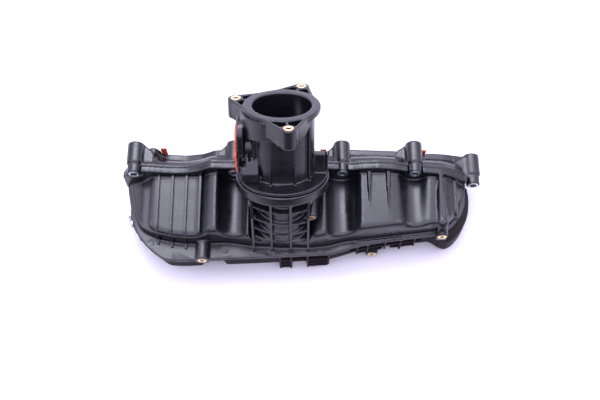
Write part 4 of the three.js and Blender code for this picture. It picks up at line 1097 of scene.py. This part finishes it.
for index in range(4):
    soften(f"port_gasket_{index + 1}", 0.35, ORANGE, "gasket_silicone")
    soften(f"swirl_flap_{index + 1}", 0.35, BLACK_FLAP, "flap_plastic")
soften("egr_gasket", 0.35, ORANGE, "gasket_silicone")
soften("shaft_lever", 0.25, STEEL, "linkage_steel")
soften("link_rod", 0.25, STEEL, "linkage_steel")
soften("actuator_crank", 0.25, STEEL, "linkage_steel")
soften("actuator_housing", 0.4, BLACK_ACTUATOR, "actuator_plastic")
soften("actuator_cover", 0.4, BLACK_ACTUATOR, "actuator_plastic")
for index in range(2):
    soften(f"actuator_screw_{index + 1}", 0.25, STEEL, "linkage_steel")
soften("flap_shaft", 0.4, STEEL, "linkage_steel")


# ------------------------------------------------------------------ stage
HORIZON_FRONT = 0.02
HORIZON_BACK = 1.7
ZENITH = 3.5
SKY_TINT = (0.80, 0.77, 1.0, 1)


def area_lamp(name, place, aim, size, power, colour=(1, 1, 1)):
    lamp = bpy.data.lights.new(name, "AREA")
    lamp.shape = "RECTANGLE"
    lamp.size, lamp.size_y = size
    lamp.energy = power
    lamp.color = colour
    piece = bpy.data.objects.new(name, lamp)
    piece.location = place
    piece.rotation_euler = (Vector(aim) - Vector(place)).to_track_quat("-Z", "Y").to_euler()
    bpy.context.scene.collection.objects.link(piece)


def floor():
    bpy.ops.mesh.primitive_plane_add(size=8, location=(0, 0, -0.0002))
    piece = bpy.context.object
    piece.name = "floor"
    material, nodes, links, shader = new_material("pale_floor")
    shader.inputs["Base Color"].default_value = (0.66, 0.65, 0.67, 1)
    shader.inputs["Roughness"].default_value = 0.75
    piece.data.materials.append(material)


def studio_sky():
    """Soft light all round: bright above, paler behind, dark in front."""
    world = bpy.data.worlds.new("studio")
    world.use_nodes = True
    nodes = world.node_tree.nodes
    links = world.node_tree.links
    place = nodes.new("ShaderNodeTexCoord")
    parts = nodes.new("ShaderNodeSeparateXYZ")
    links.new(place.outputs["Generated"], parts.inputs["Vector"])
    around = nodes.new("ShaderNodeMapRange")
    around.inputs["From Min"].default_value = -1
    around.inputs["From Max"].default_value = 1
    around.inputs["To Min"].default_value = HORIZON_FRONT
    around.inputs["To Max"].default_value = HORIZON_BACK
    links.new(parts.outputs["Y"], around.inputs["Value"])
    up = nodes.new("ShaderNodeMapRange")
    up.interpolation_type = "SMOOTHSTEP"
    up.inputs["From Min"].default_value = 0.28
    up.inputs["From Max"].default_value = 0.95
    links.new(parts.outputs["Z"], up.inputs["Value"])
    blend = nodes.new("ShaderNodeMix")
    blend.data_type = "FLOAT"
    links.new(up.outputs["Result"], blend.inputs["Factor"])
    links.new(around.outputs["Result"], blend.inputs["A"])
    blend.inputs["B"].default_value = ZENITH
    links.new(blend.outputs["Result"], nodes["Background"].inputs["Strength"])
    nodes["Background"].inputs["Color"].default_value = SKY_TINT
    return world


def stage():
    floor()
    bpy.context.scene.view_settings.view_transform = "Standard"
    bpy.context.scene.world = studio_sky()
    area_lamp("top_box", (-0.15, 0.5, 1.25), (0, 0, 0.05), (0.9, 0.5), 7, (0.9, 0.9, 1))
    area_lamp("rim_box", (0, 0.65, 1.13), (0, 0, 0.05), (1.2, 0.17), 4, (0.9, 0.9, 1))
    area_lamp("left_box", (-1.2, 0.1, 0.75), (0, 0, 0.05), (0.35, 0.9), 3, (0.88, 0.88, 1))
    area_lamp("right_box", (1.2, 0.1, 0.8), (0, 0, 0.05), (0.35, 0.9), 3, (0.88, 0.88, 1))


CAMERA_AIM = np.array([0.0, 0.0, 35.0])
CAMERA_DISTANCE = 927.0
CAMERA_ELEVATION = math.radians(66)


def camera():
    lens = bpy.data.cameras.new("camera")
    lens.lens = 54
    lens.sensor_width = 36
    lens.clip_start = 0.01
    piece = bpy.data.objects.new("camera", lens)
    back = np.array([0, -math.cos(CAMERA_ELEVATION), math.sin(CAMERA_ELEVATION)])
    place = (CAMERA_AIM + back * CAMERA_DISTANCE - ORIGIN) * MM
    aim = (CAMERA_AIM - ORIGIN) * MM
    piece.location = place
    piece.rotation_euler = (Vector(aim) - Vector(place)).to_track_quat("-Z", "Y").to_euler()
    bpy.context.scene.collection.objects.link(piece)
    bpy.context.scene.camera = piece


stage()
camera()
